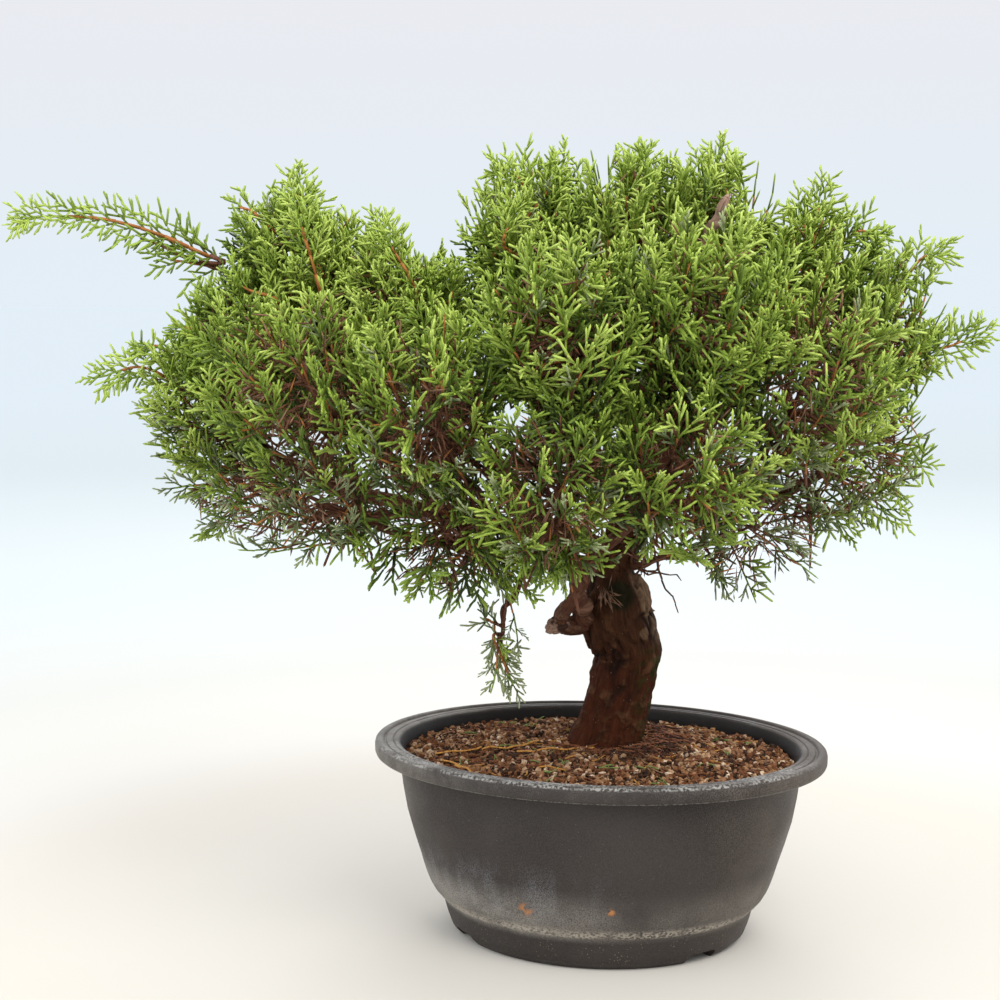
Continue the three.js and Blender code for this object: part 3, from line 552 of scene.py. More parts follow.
# Bark: dark red-brown and fibrous, darkest in the cracks, whose dark is partly painted shade; the trunk is
# smoother and redder low down, with a pale slab at its upper right, a knot, moss on the right, and painted
# shade tinged with moss in the hollow at the front
trunkBarkColours = {
    "deep": (0.009, 0.004, 0.0028), "low": (0.055, 0.014, 0.0048), "high": (0.056, 0.0205, 0.0088),
    "flake": (0.112, 0.048, 0.022), "slab": (0.225, 0.135, 0.08), "moss": (0.022, 0.034, 0.006),
    "dots": (0.34, 0.25, 0.19), "hollowShade": (0.012, 0.014, 0.005),
}
boughBarkColours = {
    "deep": (0.014, 0.006, 0.004), "low": (0.12, 0.048, 0.028), "high": (0.12, 0.048, 0.028),
    "flake": (0.2, 0.105, 0.066),
}
trunkSpots = {
    "slabWay": (0.97, 0.2436, 0.41), "slabFrom": (0.1035, 0.1062), "knotAt": (27.5, -2.5, 178.5),
    "slabHeights": (0.168, 0.175, 0.209, 0.216), "knotSize": (0.0046, 0.003), "hollowAt": (12, -1, 201),
    "hollowSize": (0.012, 0.007), "mossSide": (0.018, 0.032), "mossTop": (0.186, 0.15),
}


def readWood(place):
    grain = addNode(place.id_data, "Attribute", attribute_name="grain")["Vector"]
    risen = addNode(place.id_data, "Attribute", attribute_name="groove")["Fac"]
    return grain, risen, *addNode(place.id_data, "SeparateXYZ", {0: place})


def makeBark(name, colours, spots):
    material, shader, place = newMaterial(name, 0.85, 0.12)
    grain, risen, x, y, z = readWood(place)
    strand = useGroup(fibres, grain, Scale=520.0, Stretch=0.16)
    flake = patchMask(grain, 110.0, 0.5, 0.66)
    colour = mixColours(rampMask(z, 0.148, 0.178), colours["low"], colours["high"])
    colour = paintLayers(colour, (colours["flake"], flake, 0.7))
    if spots:
        slabSide = rampMask(vectorMath("DOT_PRODUCT", place, spots["slabWay"]), *spots["slabFrom"])
        colour = paintLayers(
            colour, (colours["slab"], slabSide, bandMask(z, *spots["slabHeights"])),
            (colours["slab"], nearMask(place, toRow(spots["knotAt"]), *spots["knotSize"]), 0.6))
    tone = rampMask(strand["Mask"], 0.3, 0.7, 0.6, 1.35, "LINEAR")
    toned = addNode(place.id_data, "VectorMath", {0: colour, "Scale": tone}, operation="SCALE")["Vector"]
    # Sunken grooves are painted near-black: dark fissures with painted shade in them
    colour = mixColours(rampMask(risen, -2.1, -0.1), colours["deep"], toned)
    if spots:
        colour = paintLayers(
            colour, (colours["dots"], dotMask(place, 240.0, 0.07, 0.7)),
            (colours["moss"], patchMask(place, 190.0, 0.46, 0.6), rampMask(x, *spots["mossSide"]),
             rampMask(z, *spots["mossTop"]), 0.9),
            # Painted shade in the hollow at the front, tinged moss green
            (colours["hollowShade"], nearMask(place, toRow(spots["hollowAt"]), *spots["hollowSize"]), 0.85))
    feed(shader["Base Color"], colour)
    addBumps(shader, (strand["Cracks"], 0.5, 0.0012), (flake, 0.7, 0.0022), (strand["Mask"], 0.8, 0.0012))
    return material


trunkPiece = growLimb("trunkWood", trunkCurve, trunkRadius, limbLook["trunk"])
finishPiece(trunkPiece, "trunkWood", makeBark("trunkBark", trunkBarkColours, trunkSpots), "bark", "trunk")
boughNames = [name for name, *_ in boughs]
boughPieces = [growLimb(name, limbs[name]["whole"], limbs[name]["wholeRadius"], limbLook["bough"],
                        1.0 if name == knob["on"] else boughShape["collar"]) for name in boughNames]
burr = {"on": "front_bough", "from": 0.1, "to": 0.5, "radius": 6.6, "taper": 0.3}
burrEnds = limbs[burr["on"]]["whole"]([burr["from"], burr["to"]])
boughPieces.append(growLimb("burr", bezier(burrEnds), lambda t: burr["radius"] * (1 - burr["taper"] * t),
                            limbLook["bough"]))
boughBark = makeBark("boughBark", boughBarkColours, None)
finishPiece(joinPieces(boughPieces), "boughWood", boughBark, "bark", *boughNames)
print("trunk and boughs grown")

# The dead stub: bare wood, weathered pale grey-brown, thickest near its torn end
deadWood, shader, place = newMaterial("deadWood", 0.8, 0.25)
grain, risen, x, y, z = readWood(place)
strand = useGroup(fibres, grain, Scale=500.0, Stretch=0.1)
weathered = mixColours(strand["Mask"], (0.16, 0.075, 0.05), (0.48, 0.32, 0.235))
weathered = paintLayers(
    weathered, ((0.05, 0.022, 0.014), rampMask(z, 0.425, 0.405), patchMask(place, 120.0, 0.45, 0.55, 6.0)))
# Sunken grooves are painted dark: painted shade in the cracks
feed(shader["Base Color"], mixColours(rampMask(risen, -1.2, 0.0), (0.05, 0.026, 0.018), weathered))
addBumps(shader, (strand["Cracks"], 0.8, 0.001))


def growSpike(name, base, way, radius, taper, power, relief):
    look = {**limbLook["bough"], "relief": relief, "wiggle": 0.3}
    path = bezier([base, base + way / 2, base + way])
    return growLimb(name, path, lambda t: radius * (1 - taper * t ** power), look)


tornShape = {"stops": (0, 0.5, 0.78, 0.92, 1.0), "radii": (2.6, 2.5, 3.4, 4.0, 1.0)}
splinters = [(0.8, 1.5, 9.0, 1.3), (0.86, -1.8, 7.0, 1.1), (0.9, 0.4, 6.0, 1.2)]
brokenEnds = [((-0.9, -0.2, -0.35), 10.5, 3.8), ((-0.8, -0.5, 0.1), 8.5, 2.6)]
stubWay = unit(np.array(stub["tip"]) - stubRoot)
stubPieces = [growLimb("stub", stubPath, lambda t: np.interp(t, tornShape["stops"], tornShape["radii"]),
                       {**limbLook["bough"], "relief": 0.8, "wiggle": 1.0})]
for n, (at, side, length, radius) in enumerate(splinters):
    way = stubWay * length + np.array([side * 1.6, 0.8 * side, 0.5])
    stubPieces.append(growSpike(f"splinter{n}", stubPath(at)[0], way, radius, 0.85, 2, 0.4))
finishPiece(joinPieces(stubPieces), "deadStub", deadWood, "dead_wood", "dead_stub")
elbow = limbs["front_bough"]["whole"](0.27)[0]
endPieces = [growSpike(f"brokenEnd{n}", elbow, unit(np.array(way)) * length, radius, 0.5, 3, 0.8)
             for n, (way, length, radius) in enumerate(brokenEnds)]
finishPiece(joinPieces(endPieces), "brokenEnd", deadWood, "bark", "front_bough")
print("dead stub grown")

# Cords: foliage and twigs are made of thin rods with three sides, and of slimmer ones that start in a point
rodShape = {"shoulder": 0.84, "slimWaist": 0.66}


def acrossFrom(starts, ends, roll):
    axis = unit(ends - starts)
    reference = np.where(np.abs(axis[:, 2:3]) < 0.9, [[0.0, 0.0, 1.0]], [[1.0, 0.0, 0.0]])
    side = unit(np.cross(axis, reference))
    angles = (roll[:, None] + np.arange(3) * fullTurn / 3)[..., None]
    return np.cos(angles) * side[:, None] + np.sin(angles) * np.cross(axis, side)[:, None]


def rodCorners(starts, ends, startRadius, endRadius, roll):
    out = acrossFrom(starts, ends, roll)
    shoulder = starts + (ends - starts) * rodShape["shoulder"]
    return np.concatenate([starts[:, None] + out * startRadius[:, None, None],
                           shoulder[:, None] + out * endRadius[:, None, None], ends[:, None]], axis=1)


def slimCorners(starts, ends, waistRadius, roll):
    waist = starts + (ends - starts) * rodShape["slimWaist"]
    out = acrossFrom(starts, ends, roll) * waistRadius[:, None, None]
    return np.concatenate([starts[:, None], waist[:, None] + out, ends[:, None]], axis=1)


rodFaces = np.array([(0, 2, 1)] + [face for k in range(3) for face in (
    (k, (k + 1) % 3, 3 + (k + 1) % 3), (k, 3 + (k + 1) % 3, 3 + k), (3 + k, 3 + (k + 1) % 3, 6))])
slimFaces = np.array([face for k in range(3) for face in (
    (0, 1 + (k + 1) % 3, 1 + k), (1 + k, 1 + (k + 1) % 3, 4))])


def meshFromArrays(name, *parts):
    points, faces, first = [], [], 0
    for corners, shapeFaces in parts:
        count, perPiece = corners.shape[:2]
        starts = first + np.arange(count) * perPiece
        points.append(corners.reshape(-1, 3))
        faces.append((shapeFaces[None] + starts[:, None, None]).reshape(-1, 3))
        first += count * perPiece
    points, faces = np.vstack(points), np.vstack(faces)
    mesh = bpy.data.meshes.new(name)
    mesh.vertices.add(len(points))
    mesh.vertices.foreach_set("co", points.reshape(-1).astype(np.float32))
    mesh.loops.add(faces.size)
    mesh.loops.foreach_set("vertex_index", faces.reshape(-1).astype(np.int32))
    mesh.polygons.add(len(faces))
    mesh.polygons.foreach_set("loop_start", np.arange(0, faces.size, 3, dtype=np.int32))
    mesh.polygons.foreach_set("use_smooth", np.ones(len(faces), bool))
    mesh.update(calc_edges=True)
    piece = bpy.data.objects.new(name, mesh)
    bpy.context.scene.collection.objects.link(piece)
    return piece


rods = []


def addRods(starts, ends, radius, tipRadius, kind, random, slim=False):
    count = len(starts)
    shared = [np.broadcast_to(value, count) for value in (radius, tipRadius, kind, slim)]
    rods.append((starts, ends, *shared, random.uniform(0, fullTurn, count)))


# Colours that are dealt out by spray, from the darkest inside, where they stand for painted shade, to the
# yellow-green tips
foliageKinds = {
    "deepShadeGreen": (0.033, 0.05, 0.01), "shadeGreen": (0.066, 0.102, 0.018), "midGreen": (0.132, 0.195, 0.027),
    "freshGreen": (0.218, 0.315, 0.041), "brightGreen": (0.318, 0.43, 0.062),
    "tipYellow": (0.43, 0.545, 0.108), "greyGreen": (0.175, 0.215, 0.095), "paleGrey": (0.33, 0.375, 0.19),
    "orangeStem": (0.4, 0.15, 0.04), "brownTwig": (0.145, 0.058, 0.031), "dryTwig": (0.26, 0.14, 0.085),
}
kindIndex = {name: k for k, name in enumerate(foliageKinds)}
greyKinds = np.array([kindIndex[name] for name in ("shadeGreen", "greyGreen", "paleGrey")])
greyTone, dryTone = 20.0, 40.0


def toneToKind(tone):
    grey = np.clip(np.round(tone - greyTone), 0, 2).astype(int)
    kinds = np.where(tone > greyTone / 2, greyKinds[grey], np.clip(np.round(tone), 0, 5))
    return np.where(tone > (greyTone + dryTone) / 2, kindIndex["brownTwig"], kinds).astype(int)


# A plume: a short axis with side cords left and right of it, some forked, in mm along, across and up. Ferns
# are flat and pinnate, fingers are bunches of cords, slender ones and needles are juvenile leaves low down
plumeFields = ("length", "sideCords", "firstAt", "lastAt", "lean", "longest", "shortest", "forks", "fork",
               "axisRadius", "cordRadius", "spread", "slim")
plumeRows = {
    "fern": (19.0, 5, 0.16, 0.88, 0.7, 12.5, 7.0, 3, 8.0, 0.74, 0.76, 0.3, False),
    "fingers": (16.0, 4, 0.05, 0.8, 0.62, 14.0, 10.0, 3, 8.5, 0.76, 0.78, 0.8, False),
    "slender": (17.0, 4, 0.15, 0.8, 0.52, 11.0, 7.5, 1, 6.0, 0.62, 0.66, 0.7, False),
    "needles": (16.0, 10, 0.1, 0.97, 0.7, 6.8, 4.8, 0, 0.0, 0.5, 0.55, 1.9, True),
    "inner": (18.0, 4, 0.1, 0.85, 0.8, 12.0, 9.0, 0, 0.0, 0.8, 1.15, 1.6, True),
}
plumeKinds = {kind: dict(zip(plumeFields, row)) for kind, row in plumeRows.items()}
plumeVariants = 9
kneeAt = 0.5
plumeLength = plumeKinds["fern"]["length"]


def makePlume(shape, seed):
    random = np.random.default_rng(seed)
    length, slim = shape["length"], shape["slim"]
    knee = np.array([length * kneeAt, random.uniform(-0.6, 0.6), random.uniform(-0.3, 0.8)])
    tip = np.array([length, random.uniform(-1.6, 1.6), random.uniform(-0.6, 2.0)])
    cords = [(np.zeros(3), knee, -1, False), (knee, tip, 1, slim)]
    for n, share in enumerate(np.linspace(shape["firstAt"], shape["lastAt"], shape["sideCords"])):
        beyond = (share - kneeAt) / (1 - kneeAt)
        root = knee * (share / kneeAt) if share < kneeAt else knee + (tip - knee) * beyond
        reach = shape["longest"] + (shape["shortest"] - shape["longest"]) * share
        reach = reach * random.uniform(0.75, 1.2)
        lean = shape["lean"] * (1.15 - 0.4 * share) * random.uniform(0.8, 1.2)
        around = (0 if n % 2 == 0 else math.pi) + random.normal(0, shape["spread"])
        way = np.array([math.cos(lean), math.sin(lean) * math.cos(around), math.sin(lean) * math.sin(around)])
        cords.append((root, root + way * reach, 0 if share < 0.5 else 1, slim))
        if n % 2 == seed % 2 and n // 2 < shape["forks"]:
            forkRoot = root + way * reach * random.uniform(0.3, 0.5)
            onward = np.array([0.9, 0, 0]) * (1 if n % 4 < 2 else -0.3)
            forkWay = unit(way + onward + random.normal(0, 0.2, 3))
            cords.append((forkRoot, forkRoot + forkWay * shape["fork"] * random.uniform(0.8, 1.25), 1, slim))
    return cords


plumes = {kind: [makePlume(shape, 11 * seed + len(kind)) for seed in range(plumeVariants)]
          for kind, shape in plumeKinds.items()}


def placePlumes(kind, bases, aheads, faces, sizes, tones, random):
    shape = plumeKinds[kind]
    sides = unit(np.cross(faces, aheads))
    basis = np.stack([aheads, sides, np.cross(aheads, sides)], axis=1) * sizes[:, None, None]
    variant = random.integers(0, plumeVariants, len(bases))
    for v, cords in enumerate(plumes[kind]):
        chosen = np.flatnonzero(variant == v)
        if len(chosen) == 0:
            continue
        thick = sizes[chosen] ** 0.35
        for start, end, level, slim in cords:
            a, b = (bases[chosen] + np.einsum("k,nkj->nj", place, basis[chosen]) for place in (start, end))
            # Cords at a spray's base are dealt darker and outer ones lighter: yellower tips, and painted
            # shade deeper in the spray
            tone = toneToKind(tones[chosen] + level * 0.8 + random.uniform(-0.4, 0.4, len(chosen)))
            addRods(a, b, shape["axisRadius"] * thick, shape["cordRadius"] * thick, tone, random, slim)


# Growth of the masses: shoots from the stem out to each place in the mass, with plumes left and right of them
growth = {
    "farthest": 0.98, "nearest": 0.4, "pullStep": 0.06, "sharpTurn": 0.4, "firstStation": 0.25,
    "lastStation": 0.95, "stations": 8, "twigRadius": 1.3, "twigTip": 0.75, "shootLength": 50.0,
    "overlap": 15.0, "deepest": 0.7, "innerKept": 0.5, "leaderRoom": 3.0, "shorter": 0.66, "rise": 0.12,
}
layers = [
    {"below": 268.0, "shoots": 25, "from": 0.38, "twigs": 300, "needles": 0.28, "dry": 0.85, "lift": 0.05},
    {"below": 345.0, "shoots": 39, "from": 0.34, "twigs": 380, "needles": 0.08, "dry": 0.82, "lift": 0.75},
    {"below": 999.0, "shoots": 50, "from": 0.2, "twigs": 170, "needles": 0.0, "dry": 0.45, "lift": 0.8},
]
# Spray tones: the free and height terms make sprays open to the sky and high in the crown lighter, as painted
# light
toneOf = {"base": 1.6, "free": 2.3, "height": 0.4, "share": 0.9, "patch": 0.6, "scatter": 0.6, "leader": 2.6}
greyBelow = {"top": 326.0, "depth": 72.0, "most": 0.85, "least": 0.02}
# Notches in the crown's outline that no spray grows into: across, height and reach
clearings = np.array([
    (93, 443, 17), (192, 377, 15), (210, 332, 15), (-207, 229, 12), (-180, 226, 12), (44, 222, 13),
    (108, 208, 12), (-104, 409, 11), (-237, 412, 8), (146, 438, 9), (-75, 425, 9), (1, 447, 10), (1, 463, 8),
    (44, 457, 8), (44, 469, 8), (-42, 462, 11), (-158, 433, 9), (-156, 210, 13), (208, 300, 13),
    (207, 276, 10), (92, 428, 9), (-120, 196, 9)], float)
crownMiddle, crownReach = np.array([-20, 0, 300.0]), np.array([300, 190, 170.0])
skyStep = 34.0
skyWays = skyStep * unit(np.array([(0, 0, 1), (0.8, 0, 0.5), (-0.8, 0, 0.5), (0, 0.8, 0.5), (0, -0.8, 0.5),
                                   (1, 0, 0), (-1, 0, 0), (0, 1, 0), (0, -1, 0)], float))


def openness(points):
    probes = (points[:, None] + skyWays)[:, :, None]
    return (np.linalg.norm((probes - centres) / reaches, axis=-1).min(axis=-1) > 0.97).mean(axis=1)


def inClearing(points):
    return (np.linalg.norm(points[:, None, [0, 2]] - clearings[:, :2], axis=-1) < clearings[:, 2]).any(axis=1)


def shootPlaces(i, count):
    seed = (i + 1) * 7919 + 12345
    turn = (seed * 1664525 + 1013904223) % 2 ** 32 / 2 ** 32 * fullTurn
    pulls = np.arange(growth["farthest"], growth["nearest"], -growth["pullStep"])
    for k in range(count):
        height = 1 - (2 * k + 1) / count
        ring = math.sqrt(1 - height * height)
        angle = turn + k * goldenAngle
        direction = np.array([math.cos(angle) * ring, math.sin(angle) * ring, height])
        reached = centres[i] + direction * reaches[i] * pulls[:, None]
        allowed = np.flatnonzero(roomInside(i, reached) > 2 * spaceGap)
        if len(allowed):
            yield reached[allowed[0]]


def stationFor(stem, target):
    path, start = stem
    first, last = growth["firstStation"], growth["lastStation"]
    for along in np.linspace(last, first, growth["stations"], endpoint=False):
        share = start + (1 - start) * along
        before, here, after = path([share - 0.02, share, share + 0.02])
        if unit(after - before) @ unit(target - here) > growth["sharpTurn"]:
            return here
    return path(start + (1 - start) * first)[0]


def addTwig(points, radius, tipRadius, kinds, random):
    points = np.array(points)
    steps = np.diff(points, axis=0)
    radii = np.linspace(radius, tipRadius, len(points))
    kind = [kindIndex[kinds[k * len(kinds) // len(steps)]] for k in range(len(steps))]
    addRods(points[:-1], points[1:] + steps * 0.12, radii[:-1], radii[1:] * 1.04, kind, random)


def plumesAlong(path, look, random, found, tone=0.0):
    roll = random.uniform(0, fullTurn) if look["roll"] is None else look["roll"]
    reach = np.linalg.norm(path(1.0)[0] - path(0.0)[0]) * (1 - look["first"])
    count = max(2, int(reach / look["spacing"]))
    for n in range(count + 1):
        share = look["first"] + (1 - look["first"]) * n / count
        before, here, after = path([max(share - 0.03, 0), share, min(share + 0.03, 1)])
        along = unit(after - before)
        side = unit(np.cross(along, [0.05, 0.03, 1.0]))
        around = roll + n * math.pi + random.normal(0, look["scatter"])
        out = math.cos(around) * side + math.sin(around) * np.cross(side, along)
        tilt = 0.0 if n == count else look["lean"] * (1.1 - 0.45 * share) * random.uniform(0.8, 1.2)
        ahead = unit(along * math.cos(tilt) + out * math.sin(tilt) + [0, 0, look["lift"]])
        face = np.cross(along, out) + random.normal(0, look["twist"], 3)
        size = look["longest"] + (look["shortest"] - look["longest"]) * share ** 1.2
        found.append((here, ahead, face, size * random.uniform(0.85, 1.15), share, tone))


leaderLook = {"first": 0.2, "longest": 1.25, "shortest": 0.6, "lean": 0.76, "lift": 0.05, "roll": 1.57,
              "scatter": 0.45, "twist": 0.25, "spacing": 3.9}
shootLook = {"longest": 1.2, "shortest": 0.62, "lean": 0.8, "lift": 0.06, "roll": None, "scatter": 0.35,
             "twist": 0.3, "spacing": 4.7}
leaderKinds = ("brownTwig", "orangeStem", "orangeStem", "freshGreen")
# Shoot bits open to the sky are fresh green; buried ones are shade green, as painted shade
openKinds = ("brownTwig", "orangeStem", "freshGreen", "freshGreen")
buriedKinds = ("brownTwig", "brownTwig", "shadeGreen", "shadeGreen")


def growLeader(stem, guides, look, random, found):
    guides = [np.array(guide, float) for guide in guides]
    root = stationFor(stem, guides[0])
    before = guides[-2] if len(guides) > 1 else root
    guides[-1] = guides[-1] - unit(guides[-1] - before) * look["shortest"] * plumeLength
    if len(guides) == 1:
        rise = np.array([0, 0, growth["rise"] * np.linalg.norm(guides[0] - root)])
        path = bezier([root, (root + guides[0]) / 2 + rise, guides[0]])
    else:
        path = throughPoints([root, *guides])
    places = path(np.linspace(0, 1, 13))
    reach = np.linalg.norm(np.diff(places, axis=0), axis=1).sum()
    addTwig(places, 1.0 + min(reach, 150) / 150, 0.6, leaderKinds, random)
    plumesAlong(path, look, random, found)


def growShoot(i, place, layer, hanging, random, found):
    outward = unit(place - centres[i])
    place = centres[i] + (place - centres[i]) * (1 - (1 - growth["deepest"]) * random.random() ** 1.5)
    crownward = unit((place - crownMiddle) / crownReach)
    lift = np.array([0, 0, -1.4 if hanging else layer["lift"]])
    way = unit(outward * 0.6 + crownward * 0.6 + lift + random.normal(0, 0.22, 3))
    length = growth["shootLength"] * random.uniform(0.7, 1.2)
    heart = place - way * min(length, 0.95 * np.linalg.norm(place - centres[i]) + 12)
    root = stationFor(stems[i], heart)
    reach = np.linalg.norm(heart - root)
    if reach > 6:
        bend = (root + heart) / 2 + np.array([0, 0, growth["rise"] * reach]) + random.normal(0, 2, 3)
        addTwig(bezier([root, bend, heart])(np.linspace(0, 1, 5)), growth["twigRadius"], growth["twigTip"],
                ("brownTwig",), random)
    path = bezier([heart, (heart + place) / 2 + random.normal(0, 3.0, 3), place])
    # Buried shoots get shade green bits: painted shade
    kinds = openKinds if openness(place[None])[0] > 0.2 else buriedKinds
    addTwig(path(np.linspace(0, 1, 5)), growth["twigTip"], 0.5, kinds, random)
    plumesAlong(path, {**shootLook, "first": layer["from"]}, random, found, random.normal(0.15, 0.9))


def growMass(i):
    name, centre, reach, own, leaders = masses[i]
    random = np.random.default_rng(i + 101)
    layer = next(layer for layer in layers if centre[2] < layer["below"])
    hanging = name == "hanging_spray"
    found = []
    for guides in leaders:
        growLeader(stems[i], guides, {**leaderLook, **own}, random, found)
    leaderPlumes = len(found)
    for place in shootPlaces(i, own.get("shoots", layer["shoots"])):
        growShoot(i, place, layer, hanging, random, found)
    bases, aheads, faces, sizes, shares, shootTones = (np.array(column) for column in zip(*found))
    isLeader = np.arange(len(bases)) < leaderPlumes
    tips = bases + aheads * sizes[:, None] * plumeLength

    def hasRoom(points):
        room = np.where(isLeader, roomAmong(i, points) + growth["leaderRoom"],
                        roomInside(i, points, growth["overlap"]))
        free = clearOfLimbs(bases + aheads * 3, points, 0.6) & (isLeader | ~inClearing(points))
        return (room > spaceGap) & free

    whole = hasRoom(tips)
    cut = ~whole & hasRoom(bases + (tips - bases) * growth["shorter"])
    sizes = np.where(cut, sizes * 0.68, sizes)
    free = openness(tips)
    count = len(tips)
    keep = (whole | cut) & ((free > 0) | isLeader | (random.random(count) < growth["innerKept"]))
    height = np.clip((tips[:, 2] - 220) / 240, 0, 1)
    patch = np.sin(bases[:, 0] / 23 + i) * np.sin(bases[:, 1] / 19 + 2 * i)
    # Painted light and shade: open, high sprays are dealt lighter kinds, buried ones darker kinds
    tones = toneOf["base"] + toneOf["free"] * free + toneOf["height"] * height + toneOf["patch"] * patch
    tones = tones + toneOf["share"] * (shares - 0.5) + shootTones + random.normal(0, toneOf["scatter"], count)
    tones = np.where(isLeader, np.maximum(tones, toneOf["leader"]), tones)
    greyShare = np.clip((greyBelow["top"] - tips[:, 2]) / greyBelow["depth"], 0, 1) * greyBelow["most"]
    greyShare = greyBelow["least"] + greyShare * own.get("grey", 1.0)
    grey = (random.random(count) < greyShare) & (~isLeader | hanging | (layer is layers[0]))
    # Grey sprays are dealt paler greys where open to the sky: painted light
    tones = np.where(grey, greyTone + np.clip(0.7 + free + random.normal(0, 0.55, count), -0.4, 2), tones)
    needle = (random.random(count) < layer["needles"]) & ~isLeader & grey
    ferny = random.random(count) < (0.65 if centre[0] < -80 else 0.4)
    kinds = np.select([(free == 0) & ~isLeader, needle, grey, ferny | isLeader],
                      ["inner", "needles", "slender", "fern"], "fingers")
    dry = random.random(count) < layer["dry"]
    # Inner sprays are held dark as painted shade, unless dry and brown
    buried = np.where(dry, dryTone, np.minimum(tones, 1.0 + random.random(count)))
    tones = np.where(kinds == "inner", buried, tones)
    faces = unit(faces)
    for kind in plumeKinds:
        chosen = keep & (kinds == kind)
        placePlumes(kind, *(values[chosen] for values in (bases, aheads, faces, sizes, tones)), random)
    twigs = own.get("twigs", layer["twigs"])
    outwards = unit(random.normal(0, 1, (twigs, 3)))
    roots = centres[i] + outwards * reaches[i] * random.uniform(0.2, 0.74, (twigs, 1))
    ways = unit(unit(roots - centres[i]) + random.normal(0, 0.6, (twigs, 3)))
    ends = roots + ways * random.uniform(8, 24, (twigs, 1))
    inside = (roomInside(i, ends) > 6) & clearOfLimbs(roots, ends, 0.6) & ~inClearing(ends)
    dryKinds = [kindIndex[name] for name in ("brownTwig", "dryTwig", "orangeStem")]
    dry = random.choice(dryKinds, twigs, p=(0.66, 0.26, 0.08))
    addRods(roots[inside], ends[inside], 0.6, 0.6, dry[inside], random, True)
    return int(keep.sum())


print("plumes grown:", sum(growMass(i) for i in range(len(masses))))

# Bare crooked twigs along the boughs, and a few dead needles where the lowest limb leaves the trunk
bareTwigs = {"perBough": 15, "longest": 38.0, "shortest": 14.0, "steps": 6, "radius": 0.95, "sideChance": 0.4}
deadTuft = {"at": (3.0, -6.0, 205.0), "way": (0.45, -0.35, -0.8), "needles": 34, "longest": 14.0}


def growBareTwigs(path, random):
    for share in random.uniform(0.12, 0.95, bareTwigs["perBough"]):
        places = [path(share)[0]]
        along = unit(path(min(share + 0.03, 1))[0] - path(max(share - 0.03, 0))[0])
        way = unit(along * 0.5 + random.normal(0, 0.75, 3) + [0, 0, 0.1])
        length = random.uniform(bareTwigs["shortest"], bareTwigs["longest"])
        for _ in range(bareTwigs["steps"]):
            way = unit(way + random.normal(0, 0.33, 3) + [0, 0, 0.06])
            places.append(places[-1] + way * length / bareTwigs["steps"])
            if random.random() < bareTwigs["sideChance"]:
                side = unit(way + random.normal(0, 0.8, 3)) * random.uniform(3, 9)
                addTwig([places[-1], places[-1] + side], 0.55, 0.35, ("brownTwig",), random)
        addTwig(places, bareTwigs["radius"], 0.45, ("brownTwig", "brownTwig", "dryTwig"), random)


random = np.random.default_rng(29)
for name, limb in limbs.items():
    if name not in ("trunk", "dead_stub", "front_bough", "hanging_limb"):
        growBareTwigs(limb["path"], random)
for _ in range(deadTuft["needles"]):
    start = np.array(deadTuft["at"]) + random.normal(0, 2.2, 3)
    way = unit(np.array(deadTuft["way"]) + random.normal(0, 0.5, 3))
    addRods(start[None], (start + way * random.uniform(5, deadTuft["longest"]))[None], 0.35, 0.4,
            kindIndex["dryTwig"], random, True)


# Scale leaves: fine seams between overlapping scales on each cord
def makeCordMaterial(name, colour, roughness):
    material, shader, place = newMaterial(name, roughness, 0.25)
    feed(shader["Base Color"], colour)
    addBumps(shader, (useGroup(specks, place, Scale=1100.0, Size=0.34)["Mask"], 0.5, 0.0002))
    return material


start, end, radius, tipRadius, kind, slim, roll = (np.concatenate(column) for column in zip(*rods))
start, end, radius, tipRadius = toRow(start), toRow(end), radius * mm, tipRadius * mm
mostTriangles = 190000
for k, (name, colour) in enumerate(foliageKinds.items()):
    woody = name in ("orangeStem", "brownTwig", "dryTwig")
    material = makeCordMaterial(name, colour, 0.75 if woody else 0.5)
    thin, full = np.flatnonzero((kind == k) & slim), np.flatnonzero((kind == k) & ~slim)
    parts = max(1, math.ceil((len(thin) * len(slimFaces) + len(full) * len(rodFaces)) / mostTriangles))
    for part in range(parts):
        a, b = thin[part::parts], full[part::parts]
        slims = slimCorners(start[a], end[a], tipRadius[a], roll[a])
        wholes = rodCorners(start[b], end[b], radius[b], tipRadius[b], roll[b])
        piece = meshFromArrays(name + "Cords", (slims, slimFaces), (wholes, rodFaces))
        finishPiece(piece, f"{name}Cords{part + 1}", material, "bark" if woody else "foliage", *massNames)
print("cords:", len(kind))

